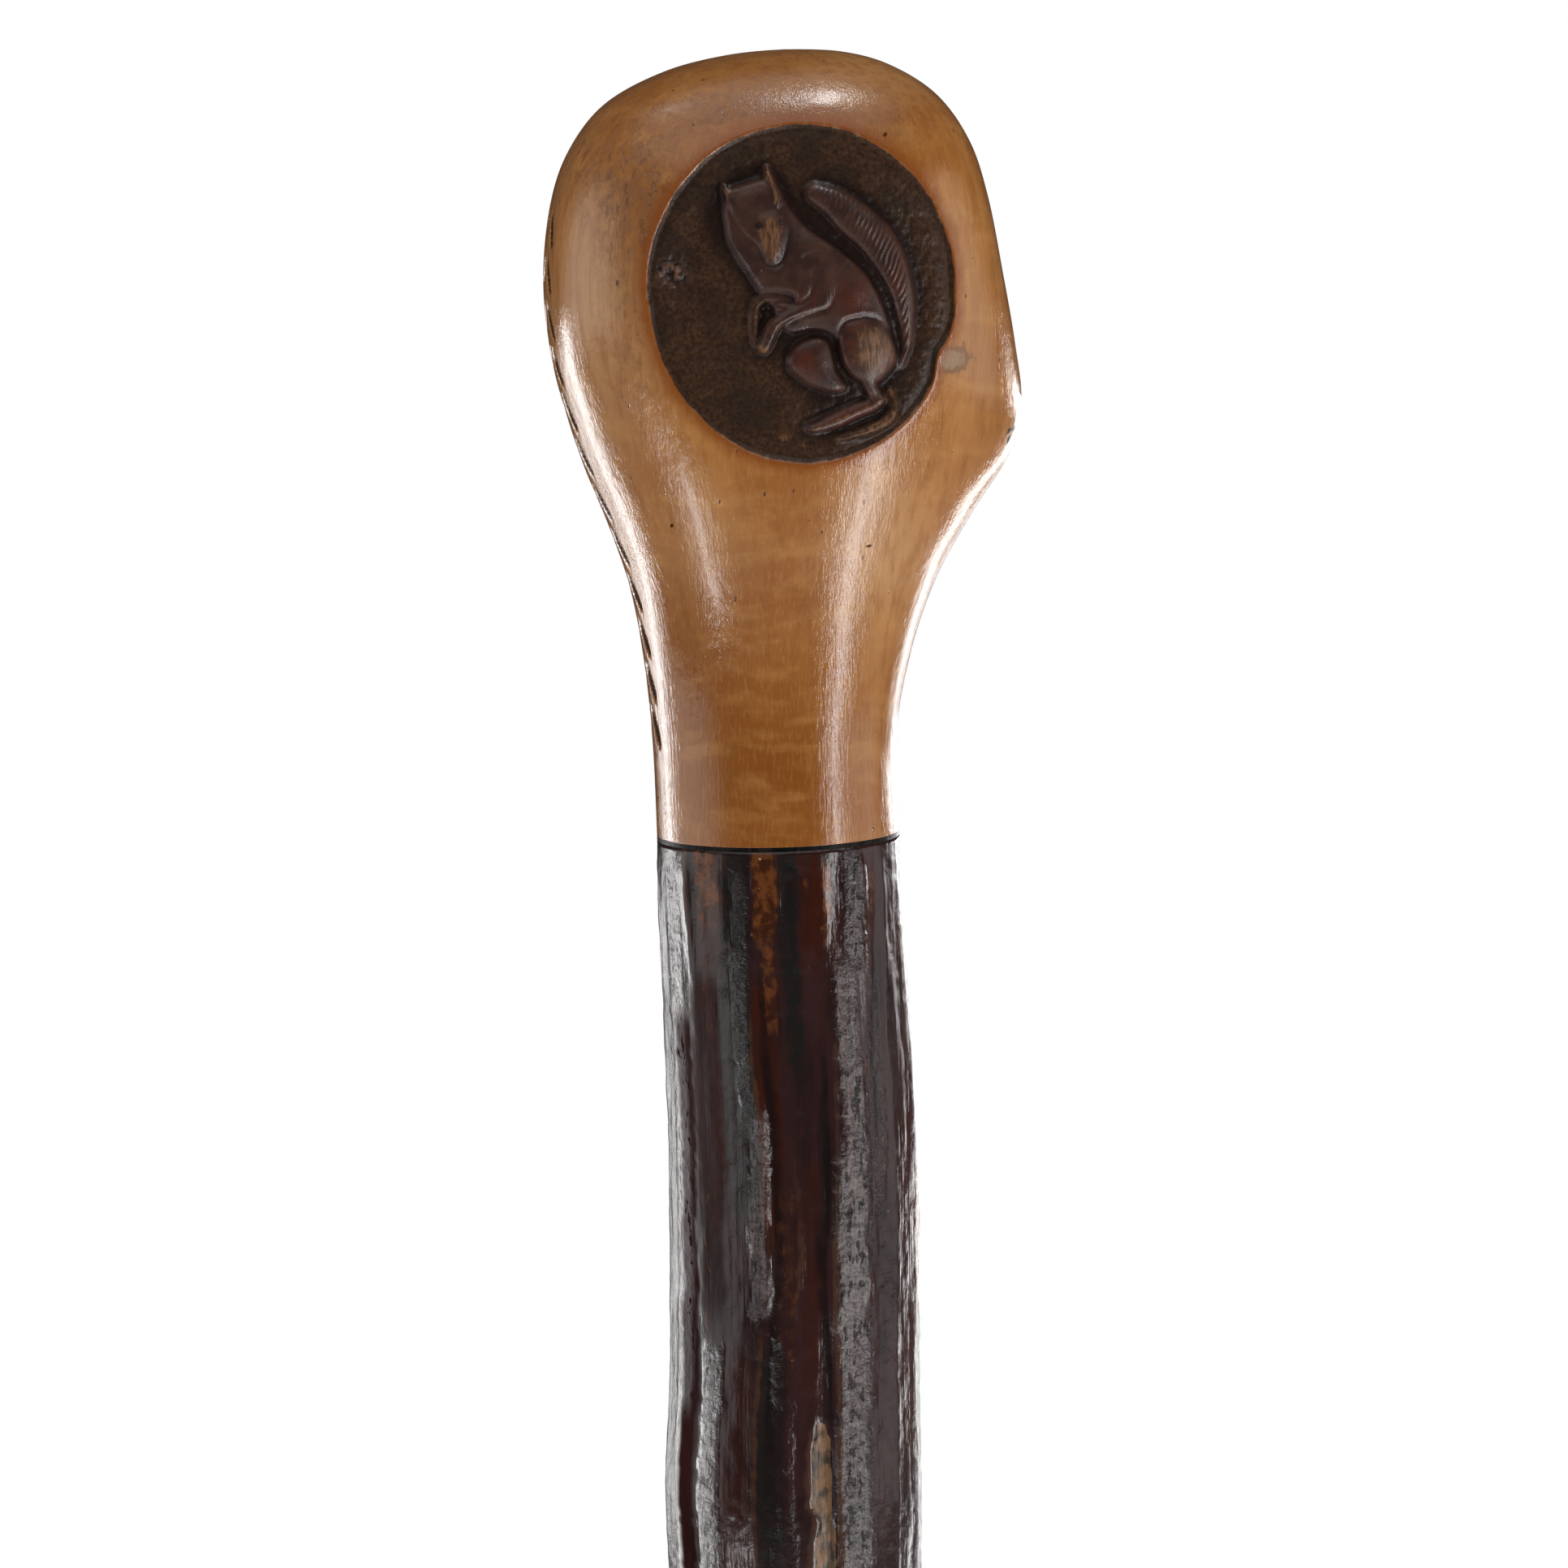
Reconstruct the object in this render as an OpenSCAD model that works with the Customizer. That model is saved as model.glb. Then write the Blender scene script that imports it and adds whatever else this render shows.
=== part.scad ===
// Walking cane: a carved wooden knob on a bark-covered stick, with a thin black spacer at
// the joint, a hidden steel stud, and a brass ferrule with a steel tip.
// The cane stands on Z = 0 with its axis on Z. The carved face looks along -Y and the
// knob's nose points along +X.

/* [Overall] */
// Height of the cane, from the tip's face to the top of the knob
cane_height = 900; // [740:10:1100]

/* [Handle] */
// Height of the handle above the joint
handle_height = 84.4; // [70:0.2:102]
// Width of the knob from its back to its nose
knob_width = 51.2; // [42:0.2:62]
// Depth of the knob through the carved face
knob_depth = 36; // [30:0.5:44]
// Diameter of the neck at the joint, where the spacer and the stick's top are flush with it
neck_d = 26.2; // [21:0.1:32]

/* [Roundel] */
// Width of the sunk roundel
roundel_w = 33.4; // [28:0.1:41]
// Height of the sunk roundel
roundel_h = 35.8; // [30:0.1:44]
// Distance from the top of the knob down to the roundel's rim
roundel_drop = 7.1; // [6:0.1:10]
// Distance of the roundel's centre from the cane's axis, towards the nose
roundel_offset = 2.1; // [-2:0.1:3]
// Depth of the roundel's ground below the surface
ground_depth = 1.5; // [1.2:0.1:2.4]
// Width of the sloping wall between the rim and the ground
wall_run = 0.6; // [0.4:0.1:1.5]
// Height of the carved squirrel above the ground at its fullest
relief_height = 1.5; // [1.2:0.1:2.4]

/* [Stick] */
// How far the stick's foot stands out past the ferrule that seats on it
foot_shoulder = 0.3; // [0.1:0.1:2]
// Depth of the bark's furrows
furrow = 0.5; // [0.2:0.05:0.8]
// How far the stick bows out of line over its length
bow = 3; // [0:0.5:6]

/* [Joint] */
// Thickness of the black spacer between the handle and the stick
spacer_t = 0.5; // [0.3:0.1:2]
// Diameter of the threaded stud
stud_d = 8; // [6:0.5:10]
// Depth of thread on the stud
thread_depth = 0.6; // [0.4:0.1:0.8]
// Pitch of the thread on the stud
thread_pitch = 1.5; // [1:0.25:2]
// Length of the stud inside the handle
stud_up = 30; // [20:1:40]
// Length of the stud inside the stick
stud_down = 34; // [20:1:60]
// Glue gap around the stud
stud_gap = 0.15; // [0.05:0.05:0.4]

/* [Ferrule] */
// Outside diameter of the brass ferrule
ferrule_d = 19; // [16:0.2:23]
// Length of the brass ferrule
ferrule_length = 32; // [24:1:42]
// Wall of the brass ferrule
ferrule_wall = 0.9; // [0.6:0.1:1.4]
// How far the steel tip stands out of the ferrule
tip_proud = 1.5; // [0.8:0.1:3]
// How far the steel tip reaches up into the ferrule
tip_seat = 4; // [2:0.5:6]
// Glue gap between the ferrule and the wood inside it
ferrule_gap = 0.05; // [0.02:0.01:0.15]
// Diameter of the nails through the ferrule
nail_d = 1.6; // [1.2:0.1:2.2]
// Length of each nail
nail_length = 6; // [4:0.5:7]
// Distance of the nails below the ferrule's upper edge
nail_drop = 6; // [4:0.5:9]

/* [Hidden] */
$fn = 72;

joint_z = cane_height - handle_height;      // the handle's underside
stick_top_z = joint_z - spacer_t;           // the stick's sawn upper face
ferrule_top_z = tip_proud + ferrule_length; // the shoulder that the ferrule seats on
stick_top_d = neck_d;
stick_foot_d = ferrule_d + 2 * foot_shoulder;
tenon_d = ferrule_d - 2 * ferrule_wall - 2 * ferrule_gap;
bore_d = stud_d + 2 * stud_gap;
bore_tail = 2;                              // room for glue past each end of the stud
edge_break = 0.5;                           // chamfer on metal edges
slip = 0.02;                                // clearance of a nail or plug that is driven in
through = 1;                                // how far a cutter runs past what it cuts

// The handle's outline as it was drawn: a station is [height, back edge, nose edge, half
// depth, squareness, nose taper, place of the greatest depth], from the joint up to the crown.
DRAWN_HEIGHT = 84.4;
DRAWN_WIDTH = 51.2;
DRAWN_DEPTH = 36;
DRAWN_NECK_D = 26.2;
STATIONS = [
    [ 0.0, -13.1, 13.1, 13.1, 2.0, 0.00, 0.0],
    [10.0, -13.3, 13.0, 13.0, 2.0, 0.00, 0.0],
    [19.0, -14.0, 14.8, 13.6, 2.0, 0.00, 0.0],
    [27.0, -15.3, 17.8, 14.8, 2.0, 0.08, 0.0],
    [34.0, -17.5, 22.0, 16.2, 2.0, 0.18, 0.0],
    [40.0, -19.8, 26.1, 17.2, 2.0, 0.28, 0.0],
    [45.5, -21.5, 27.6, 17.8, 2.1, 0.28, 0.6],
    [52.0, -23.0, 27.0, 18.0, 2.3, 0.22, 1.4],
    [60.0, -23.6, 25.7, 17.9, 2.5, 0.15, 1.2],
    [68.0, -22.7, 24.3, 17.2, 2.5, 0.10, 0.9],
    [74.0, -20.6, 22.5, 15.9, 2.4, 0.05, 1.0],
    [79.0, -16.6, 19.2, 13.2, 2.3, 0.00, 1.3],
    [82.3, -10.2, 14.4, 9.1, 2.2, 0.00, 2.1],
    [83.9, -3.4, 9.3, 4.6, 2.1, 0.00, 2.9],
    [84.4, 3.0, 3.0, 0.0, 2.0, 0.00, 3.0]];
CROWN = len(STATIONS) - 1;

// How much of a station's width belongs to the knob and not to the neck, from 0 to 1
function knob_share(z) = let (f = min(max((z - 10) / 30, 0), 1)) f * f * (3 - 2 * f);

// A station at the sizes that are set above
function sized(st) =
    let (k = knob_share(st[0]),
         across = (1 - k) * neck_d / DRAWN_NECK_D + k * knob_width / DRAWN_WIDTH,
         deep = (1 - k) * neck_d / DRAWN_NECK_D + k * knob_depth / DRAWN_DEPTH)
    [st[0] * handle_height / DRAWN_HEIGHT, st[1] * across, st[2] * across, st[3] * deep,
     st[4], st[5], st[6] * across];
OUTLINE = [for (st = STATIONS) sized(st)];

// A smooth curve through four neighbouring values, from b at 0 to c at 1
function through_four(a, b, c, d, f) =
    0.5 * (2 * b + (c - a) * f + (2 * a - 5 * b + 4 * c - d) * f * f
           + (3 * b - a - 3 * c + d) * f * f * f);

// The handle's section at any place s along the stations
function section(s) =
    let (i = min(floor(s), CROWN - 1))
    through_four(OUTLINE[max(i - 1, 0)], OUTLINE[i], OUTLINE[i + 1],
                 OUTLINE[min(i + 2, CROWN)], s - i);

// The place s at which the handle's section is at height z
function place_of(z, low = 0, high = CROWN, tries = 22) =
    let (mid = (low + high) / 2)
    tries == 0 ? mid
    : section(mid)[0] < z ? place_of(z, mid, high, tries - 1)
    : place_of(z, low, mid, tries - 1);

// Half the depth of a section at u, which runs from -1 at its back edge through 0 where it is
// deepest to 1 at its nose
function half_depth(st, u) =
    let (q = max(1 - pow(abs(u), st[4]), 0))
    st[3] * pow(q, 1 / st[4]) * (1 - st[5] * pow(max(u, 0), 2));
function x_at(st, u) = st[6] + u * (u < 0 ? st[6] - st[1] : st[2] - st[6]);
function u_at(st, x) = (x - st[6]) / (x < st[6] ? st[6] - st[1] : st[2] - st[6]);

// The depth of the carved face at a place (x, z), with z measured up from the joint
function face_y(x, z) =
    let (st = section(place_of(z))) -half_depth(st, u_at(st, x));

// The squirrel, as rounded strokes: [x, z, radius, x, z, radius, share of relief_height].
// Places are measured from the roundel's centre.
SQUIRREL = [
    [10.9, -6.2, 0.7, 11.0, -3.0, 1.1, 0.55],  // tail, from its root
    [11.0, -3.0, 1.1, 10.2, 1.2, 1.7, 0.60],
    [10.2, 1.2, 1.7, 8.2, 5.0, 2.0, 0.65],
    [8.2, 5.0, 2.0, 5.2, 8.0, 2.0, 0.62],
    [5.2, 8.0, 2.0, 2.6, 9.9, 1.4, 0.50],      // tip of the tail
    [0.2, 2.6, 3.4, 4.4, -0.8, 3.6, 0.85],     // chest and back
    [4.4, -0.8, 3.6, 6.0, -4.2, 3.2, 0.88],    // loins
    [-2.4, 6.0, 2.4, 0.6, 2.4, 3.0, 0.78],     // neck
    [-4.2, 3.2, 1.9, -3.0, -0.6, 1.5, 0.60],   // breast
    [-5.3, 9.4, 2.5, -4.3, 7.0, 2.2, 1.00],    // skull
    [-4.1, 6.8, 2.0, -3.3, 4.4, 1.1, 1.00],    // muzzle
    [-7.6, 10.3, 0.5, -8.2, 11.6, 0.3, 0.80],  // back ear
    [-2.8, 10.4, 0.8, -3.6, 13.4, 0.35, 0.85], // front ear
    [1.3, 2.8, 1.4, 1.9, -0.4, 1.0, 1.00],     // upper arm
    [1.9, -0.6, 0.9, -2.4, -2.3, 0.65, 0.92],  // forearm
    [-2.4, -2.3, 0.65, -4.9, -5.7, 0.4, 0.75], // paw
    [-1.7, -0.4, 0.8, -5.0, -0.6, 0.6, 0.52],  // far forearm
    [-5.2, -1.0, 0.55, -5.2, -5.2, 0.4, 0.45], // far paw
    [0.4, -7.0, 2.0, 2.4, -9.0, 1.4, 0.70],    // far thigh
    [6.7, -5.3, 2.7, 6.7, -7.3, 2.4, 1.00],    // near thigh
    [6.6, -9.2, 1.3, 7.6, -11.2, 0.9, 0.80],   // hock
    [7.6, -11.9, 0.9, 0.8, -14.0, 0.55, 0.70], // hind foot
    [9.2, -12.2, 0.6, 5.0, -15.0, 0.5, 0.45]]; // far foot
STROKE_SIDES = 16;

// A stroke is a tapering rod with round ends, flattened onto the roundel's ground. It leans
// with the ground, so it stands as far out at one end as at the other.
module stroke(s) {
    from = [s[0], s[1]] * roundel_scale + [roundel_x, roundel_z];
    to = [s[3], s[4]] * roundel_scale + [roundel_x, roundel_z];
    length = norm(to - from);
    radii = [s[2], s[5]] * roundel_scale;
    flatness = s[6] * relief_height / max(radii);
    ground_from = face_y(from[0], from[1]) + ground_depth;
    ground_to = face_y(to[0], to[1]) + ground_depth;
    lean = (ground_to - ground_from) / length;
    start_cap = [for (t = [-90:30:0]) radii[0] * [cos(t), sin(t)]];
    end_cap = [for (t = [0:30:90]) [0, length] + radii[1] * [cos(t), sin(t)]];
    translate([from[0], ground_from, from[1]])
        rotate([0, atan2(to[0] - from[0], to[1] - from[1]), 0])
            multmatrix([[1, 0, 0, 0], [0, flatness, lean, 0], [0, 0, 1, 0]])
                rotate_extrude($fn = STROKE_SIDES) polygon(concat(start_cap, end_cap));
}

// The roundel's rim as shares of its half width and half height, with a dent at the knot
roundel_x = roundel_offset;
roundel_z = handle_height - roundel_drop - roundel_h / 2;
DRAWN_ROUNDEL_H = 35.8;
roundel_scale = roundel_h / DRAWN_ROUNDEL_H;
KNOT = [-25, 7, 0.045];                     // direction, spread and depth of the dent
function rim(angle) = 1 - KNOT[2] * exp(-pow((angle - KNOT[0]) / KNOT[1], 2));

// A ring of points at one share of the rim, sunk below the face of the knob by depth or, for
// the lid, lying on a plane in front of it.
ROUNDEL_SIDES = 72;
function roundel_ring(share, depth, lid = undef) =
    [for (i = [0:ROUNDEL_SIDES - 1])
     let (t = 180 - 360 * i / ROUNDEL_SIDES,
          x = roundel_x + share * rim(t) * roundel_w / 2 * cos(t),
          z = roundel_z + share * rim(t) * roundel_h / 2 * sin(t))
     [x, lid == undef ? face_y(x, z) + depth : lid, z]];

// What the carver took away: a bowl with a flat ground that follows the face of the knob
module roundel_pocket() {
    foot = 1 - wall_run / (roundel_h / 2);
    beyond = 1 + (1 - foot) / 2;            // the wall's slope runs on past the rim
    floor_rings = 5;
    skin(concat([roundel_ring(beyond, 0, -knob_depth)],
                [roundel_ring(beyond, -ground_depth / 2), roundel_ring(1, 0)],
                [for (i = [0:floor_rings - 1])
                 roundel_ring(foot * (1 - i / floor_rings), ground_depth)]),
         [roundel_x, face_y(roundel_x, roundel_z) + ground_depth, roundel_z]);
}

// The leaf cuts down the back of the knob: pairs of shallow gouge strokes that part from the
// middle line as they go down
LEAF_PAIRS = 12;
LEAF_TOP = 66;                              // height of the highest pair above the joint
LEAF_PITCH = 4.9;
LEAF = [0.35, 1.3, 4.7];                    // depth, width and length of one cut
LEAF_SLANT = 32;
LEAF_SPREAD = 1.4;                          // from the middle line to the middle of a cut
module leaf_cuts() {
    for (i = [0:LEAF_PAIRS - 1], side = [-1, 1]) {
        z = (LEAF_TOP - i * LEAF_PITCH) * handle_height / DRAWN_HEIGHT;
        back = section(place_of(z))[1];
        slope = section(place_of(z + 1))[1] - back;
        translate([back, side * LEAF_SPREAD, z])
            rotate([side * LEAF_SLANT, 0, 0]) rotate([0, atan(slope), 0])
                scale([LEAF[0] * 2, LEAF[1], LEAF[2]]) sphere(d = 1, $fn = 10);
    }
}

// The turned and carved blank, standing on the joint
BODY_SIDES = 48;
RINGS_PER_STATION = 3;
function body_ring(st) =
    [for (i = [0:BODY_SIDES - 1])
     let (t = 360 * i / BODY_SIDES, u = -cos(t), side = t < 180 ? -1 : 1)
     [x_at(st, u), side * half_depth(st, u), st[0]]];
module body() {
    last = CROWN * RINGS_PER_STATION - 1;
    skin([for (i = [0:last]) body_ring(section(i / RINGS_PER_STATION))],
         [OUTLINE[CROWN][6], 0, handle_height]);
}

// A closed skin over rings of equal count, with a flat first end and a last one that is
// flat or, where a tip is given, drawn together to it.
module skin(rings, tip = undef) {
    n = len(rings[0]);
    m = len(rings);
    points = concat([for (r = rings) each r], [mean(rings[0])],
                    [tip == undef ? mean(rings[m - 1]) : tip]);
    sides = [for (j = [0:m - 2], i = [0:n - 1])
             let (a = j * n + i, b = j * n + (i + 1) % n)
             each [[a, b + n, b], [a, a + n, b + n]]];
    ends = [for (i = [0:n - 1])
            let (k = (i + 1) % n)
            each [[i, k, m * n], [(m - 1) * n + k, (m - 1) * n + i, m * n + 1]]];
    polyhedron(points, concat(sides, ends));
}
function mean(ring) = [for (c = [0:2]) [for (p = ring) p[c]] * [for (p = ring) 1] / len(ring)];

// The handle: knob, carved roundel and neck in one piece, brought to its exact width and
// height, and bored from below for the stud.
module handle() {
    color("peru") translate([0, 0, joint_z]) difference() {
        resize([knob_width, 0, handle_height]) union() {
            difference() {
                body();
                roundel_pocket();
                leaf_cuts();
            }
            for (s = SQUIRREL) stroke(s);
        }
        translate([0, 0, -through]) cylinder(d = bore_d, h = through + stud_up + bore_tail);
    }
}

// The black washer that makes the dark line at the joint
module handle_spacer() {
    color("black") translate([0, 0, stick_top_z]) difference() {
        cylinder(d = neck_d, h = spacer_t);
        translate([0, 0, -through]) cylinder(d = bore_d, h = spacer_t + 2 * through);
    }
}

// The threaded stud that is glued into the handle and the stick. Its thread is drawn as
// rings, one for each turn.
THREAD_FORM = [[0.1, 0], [0.45, 1], [0.55, 1], [0.9, 0]]; // [share of pitch, share of depth]
module joint_stud() {
    length = stud_up + spacer_t + stud_down;
    turns = floor((length - 2 * thread_pitch) / thread_pitch);
    start = (length - turns * thread_pitch) / 2;
    root = stud_d / 2 - thread_depth;
    thread = [for (i = [0:turns - 1], p = THREAD_FORM)
              [root + p[1] * thread_depth, start + (i + p[0]) * thread_pitch]];
    color("dimgray") translate([0, 0, stick_top_z - stud_down]) rotate_extrude()
        polygon(concat([[0, 0], [root - edge_break, 0], [root, edge_break]], thread,
                       [[root, length - edge_break], [root - edge_break, length],
                        [0, length]]));
}

// The stick's middle line. f runs from 0 at the ferrule to 1 at the joint. The ends stay on
// the cane's axis, but for a slight bend towards the nose just below the joint.
stick_length = stick_top_z - ferrule_top_z;
LEAVE = 65;                                 // length over which the stick leaves the axis
BEND = [72, 0.35];                          // length and half the reach of the bend
function off_axis(above, below) = min(1, above / LEAVE) * min(1, max(0, below - BEND[0]) / LEAVE);
function stick_middle(f) =
    let (above = stick_length * f, below = stick_length - above,
         bend = below < BEND[0] ? BEND[1] * (1 - cos(360 * below / BEND[0])) : 0)
    [bend, 0] + off_axis(above, below) * bow * [0.7 * sin(250 * f + 20) + 0.25 * sin(900 * f),
                                                0.6 * sin(200 * f - 60) + 0.2 * sin(760 * f + 40)];

// Places where side shoots were trimmed off: [mm below the joint, direction, swelling]
SHOOTS = [[72, 200, 0.8], [146, 330, 1.2], [228, 95, 1.3], [304, 215, 1.1], [392, 20, 1.2],
          [470, 140, 1.0], [566, 280, 1.1], [650, 60, 0.8]];
SHOOT_REACH = 9;                            // how far along the stick a swelling fades
function shoot_swelling(below, angle) =
    let (each_one = [for (s = SHOOTS)
                     s[2] * exp(-pow((below - s[0]) / SHOOT_REACH, 2))
                     * (0.35 + 0.65 * exp(-2.2 * (1 - cos(angle - s[1]))))])
    each_one * [for (s = SHOOTS) 1];

// The bark's ridges, from -1 to 1: they run along the stick, drift round it, come and go
function bark(below, angle) =
    0.5 * sin(11 * angle + 30 * sin(below * 2.1) + below * 0.4)
    + 0.3 * sin(7 * angle - 25 * sin(below * 1.3 + 50))
    + 0.2 * sin(15 * angle + 40 * sin(below * 3.1 + 20));

TRIMMED_END = 3;                            // the bark is rasped flush over this length
STICK_SIDES = 40;
RING_GAP = 13;
function stick_ring(f) =
    let (above = stick_length * f, below = stick_length - above, middle = stick_middle(f),
         r = (stick_foot_d + (stick_top_d - stick_foot_d) * pow(f, 0.8)) / 2,
         trim = min(1, below / TRIMMED_END, above / TRIMMED_END))
    [for (i = [0:STICK_SIDES - 1])
     let (a = 360 * i / STICK_SIDES,
          out = r + trim * (furrow * bark(below, a) + shoot_swelling(below, a)))
     [middle[0] + out * cos(a), middle[1] + out * sin(a), ferrule_top_z + above]];

// The stick, bark on, bored for the stud and turned down to enter the ferrule
module stick() {
    rings = ceil(stick_length / RING_GAP);
    end = TRIMMED_END / stick_length;
    stops = concat([0, end], [for (i = [1:rings - 1]) i / rings], [1 - end, 1]);
    tenon_z = tip_proud + tip_seat;
    color("saddlebrown") difference() {
        union() {
            skin([for (f = stops) stick_ring(f)]);
            translate([0, 0, tenon_z])
                cylinder(d = tenon_d, h = ferrule_top_z - tenon_z + through);
        }
        translate([0, 0, stick_top_z - stud_down - bore_tail])
            cylinder(d = bore_d, h = stud_down + bore_tail + through);
        for (nail = NAILS) along_nail(nail[1])
            cylinder(d = nail_d + 2 * slip, h = nail_length + through);
    }
}

// The nails: [name, direction]
NAILS = [["ferrule_nail_right", 0], ["ferrule_nail_left", 180]];

// Places a child so that its Z runs out along a nail, from the nail's inner end
module along_nail(direction) {
    translate([0, 0, ferrule_top_z - nail_drop]) rotate([0, 90, direction])
        translate([0, 0, ferrule_d / 2 - nail_length]) children();
}

// The brass sleeve
module ferrule() {
    outer = ferrule_d / 2;
    inner = outer - ferrule_wall;
    lip = edge_break / 2;
    color("goldenrod") difference() {
        translate([0, 0, tip_proud]) rotate_extrude()
            polygon([[inner, 0], [outer - edge_break, 0], [outer, edge_break],
                     [outer, ferrule_length - lip], [outer - lip, ferrule_length],
                     [inner, ferrule_length]]);
        for (nail = NAILS) along_nail(nail[1])
            cylinder(d = nail_d + 2 * slip, h = nail_length + through);
    }
}

// The steel plug that closes the ferrule and takes the wear
module ferrule_tip() {
    seat = ferrule_d / 2 - ferrule_wall - slip;
    top = tip_proud + tip_seat;
    color("gray") rotate_extrude()
        polygon([[0, 0], [seat - edge_break, 0], [seat, edge_break], [seat, top], [0, top]]);
}

// A brass nail, filed flush with the ferrule. It stops just short of its hole's end.
module ferrule_nail(direction) {
    color("darkgoldenrod") intersection() {
        along_nail(direction) translate([0, 0, slip]) cylinder(d = nail_d, h = nail_length);
        cylinder(d = ferrule_d, h = ferrule_top_z);
    }
}

handle();
handle_spacer();
joint_stud();
stick();
ferrule();
ferrule_tip();
for (nail = NAILS)
    ferrule_nail(nail[1]);
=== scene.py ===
# %% [markdown]
# # A carved walking cane
#
# The cane is a carved knob of pale wood on a dark stick with its bark on. A black washer marks
# the joint, and the foot ends in a brass sleeve with a steel plug. The CAD model, which opens
# first, holds the true sizes; this lesson adds what knife, stain, varnish and use did to it.

# %% Open the CAD frame
import math

import bpy
import numpy as np
from mathutils import Matrix, Vector


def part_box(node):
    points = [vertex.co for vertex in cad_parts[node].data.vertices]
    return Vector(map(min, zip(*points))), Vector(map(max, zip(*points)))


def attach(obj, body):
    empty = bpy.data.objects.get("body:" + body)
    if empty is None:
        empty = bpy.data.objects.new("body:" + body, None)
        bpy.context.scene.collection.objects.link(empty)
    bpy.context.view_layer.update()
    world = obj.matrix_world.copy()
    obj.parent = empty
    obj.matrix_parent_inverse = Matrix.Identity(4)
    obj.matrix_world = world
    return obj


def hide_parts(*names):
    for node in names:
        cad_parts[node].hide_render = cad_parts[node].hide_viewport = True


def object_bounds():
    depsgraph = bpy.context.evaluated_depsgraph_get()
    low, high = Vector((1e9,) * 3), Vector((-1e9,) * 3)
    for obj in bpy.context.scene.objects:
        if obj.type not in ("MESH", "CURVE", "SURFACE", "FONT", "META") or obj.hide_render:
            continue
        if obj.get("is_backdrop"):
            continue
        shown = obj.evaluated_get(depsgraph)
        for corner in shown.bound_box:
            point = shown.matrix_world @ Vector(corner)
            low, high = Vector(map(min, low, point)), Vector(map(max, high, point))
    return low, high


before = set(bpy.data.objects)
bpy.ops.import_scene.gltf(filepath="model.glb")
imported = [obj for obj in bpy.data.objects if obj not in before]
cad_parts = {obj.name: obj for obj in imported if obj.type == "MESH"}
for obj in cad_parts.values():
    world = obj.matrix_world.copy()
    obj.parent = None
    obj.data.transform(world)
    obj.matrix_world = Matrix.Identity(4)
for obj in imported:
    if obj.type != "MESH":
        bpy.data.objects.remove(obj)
cad_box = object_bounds()
MM = .001
joint_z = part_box("handle")[0].z / MM
stick_top_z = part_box("handle_spacer")[0].z / MM
shoulder_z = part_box("ferrule")[1].z / MM
print("joint at", round(joint_z, 1), "mm, shoulder at", round(shoulder_z, 1), "mm")

# %% [markdown]
# ## Camera
#
# A long lens keeps the sides straight. The camera stands a little left of the carved face and
# above it, rolled by the small angle at which the cane leans in its frame. An aiming
# constraint could hold it, but a matrix built from three directions says where it is.

# %% Camera
FACE_AZIMUTH, CAMERA_RISE, CAMERA_DISTANCE, CANE_LEAN = -8, 7.3, 1.2, -1.5
AIM = Vector((.77, 0, joint_z + 5.14)) * MM
UP = Vector((0, 0, 1))

def towards(azimuth, elevation):
    """The direction from the cane to a viewer, in degrees; azimuth 0 faces the carving."""
    a, e = math.radians(azimuth), math.radians(elevation)
    return Vector((math.sin(a) * math.cos(e), -math.cos(a) * math.cos(e), math.sin(e)))

def pose(up, back, place):
    """A matrix whose Y is up and whose Z points back from what the camera or lamp looks at."""
    back = back.normalized()
    right = up.cross(back).normalized()
    turned = Matrix((right, back.cross(right), back)).transposed().to_4x4()
    turned.translation = place
    return turned

def place_object(name, data):
    """A new object in the scene."""
    made = bpy.data.objects.new(name, data)
    bpy.context.scene.collection.objects.link(made)
    return made

lens = bpy.data.cameras.new("camera")
lens.lens, lens.sensor_width = 255.2, 36
bpy.context.scene.camera = camera = place_object("camera", lens)
view = towards(FACE_AZIMUTH, CAMERA_RISE)
lean = Matrix.Rotation(math.radians(CANE_LEAN), 3, view)
camera.matrix_world = pose(lean @ UP, view, AIM + view * CAMERA_DISTANCE)
print("camera at", [round(v, 3) for v in camera.location])

# %% [markdown]
# ## Room and lamps
#
# Varnished wood shows its shape by what it mirrors. The photograph has two upright streaks
# down the neck, from two long lamps, and pale bands along both edges, from bright walls at the
# sides. The room is dim in front and behind, so the stick stays dark. The background is white
# for the camera alone, so it adds no light to the wood.

# %% Lamps
def lamp(name, place, aim, power, size, up=UP):
    """An area lamp that no camera sees."""
    light = bpy.data.lights.new(name, "AREA")
    light.shape, light.energy = "RECTANGLE", power
    light.size, light.size_y = size
    lit = place_object(name, light)
    lit.matrix_world = pose(up, place - aim, place)
    lit.visible_camera = False
    return lit

def strip(name, low, high, width, power):
    """A long lamp between two places: (degrees right of the camera, distance, height)."""
    start, end = (towards(FACE_AZIMUTH + side, 0) * out + UP * z for side, out, z in (low, high))
    along = end - start
    return lamp(name, (start + end) / 2, UP * .8, power, (width, along.length),
                along.normalized())

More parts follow.
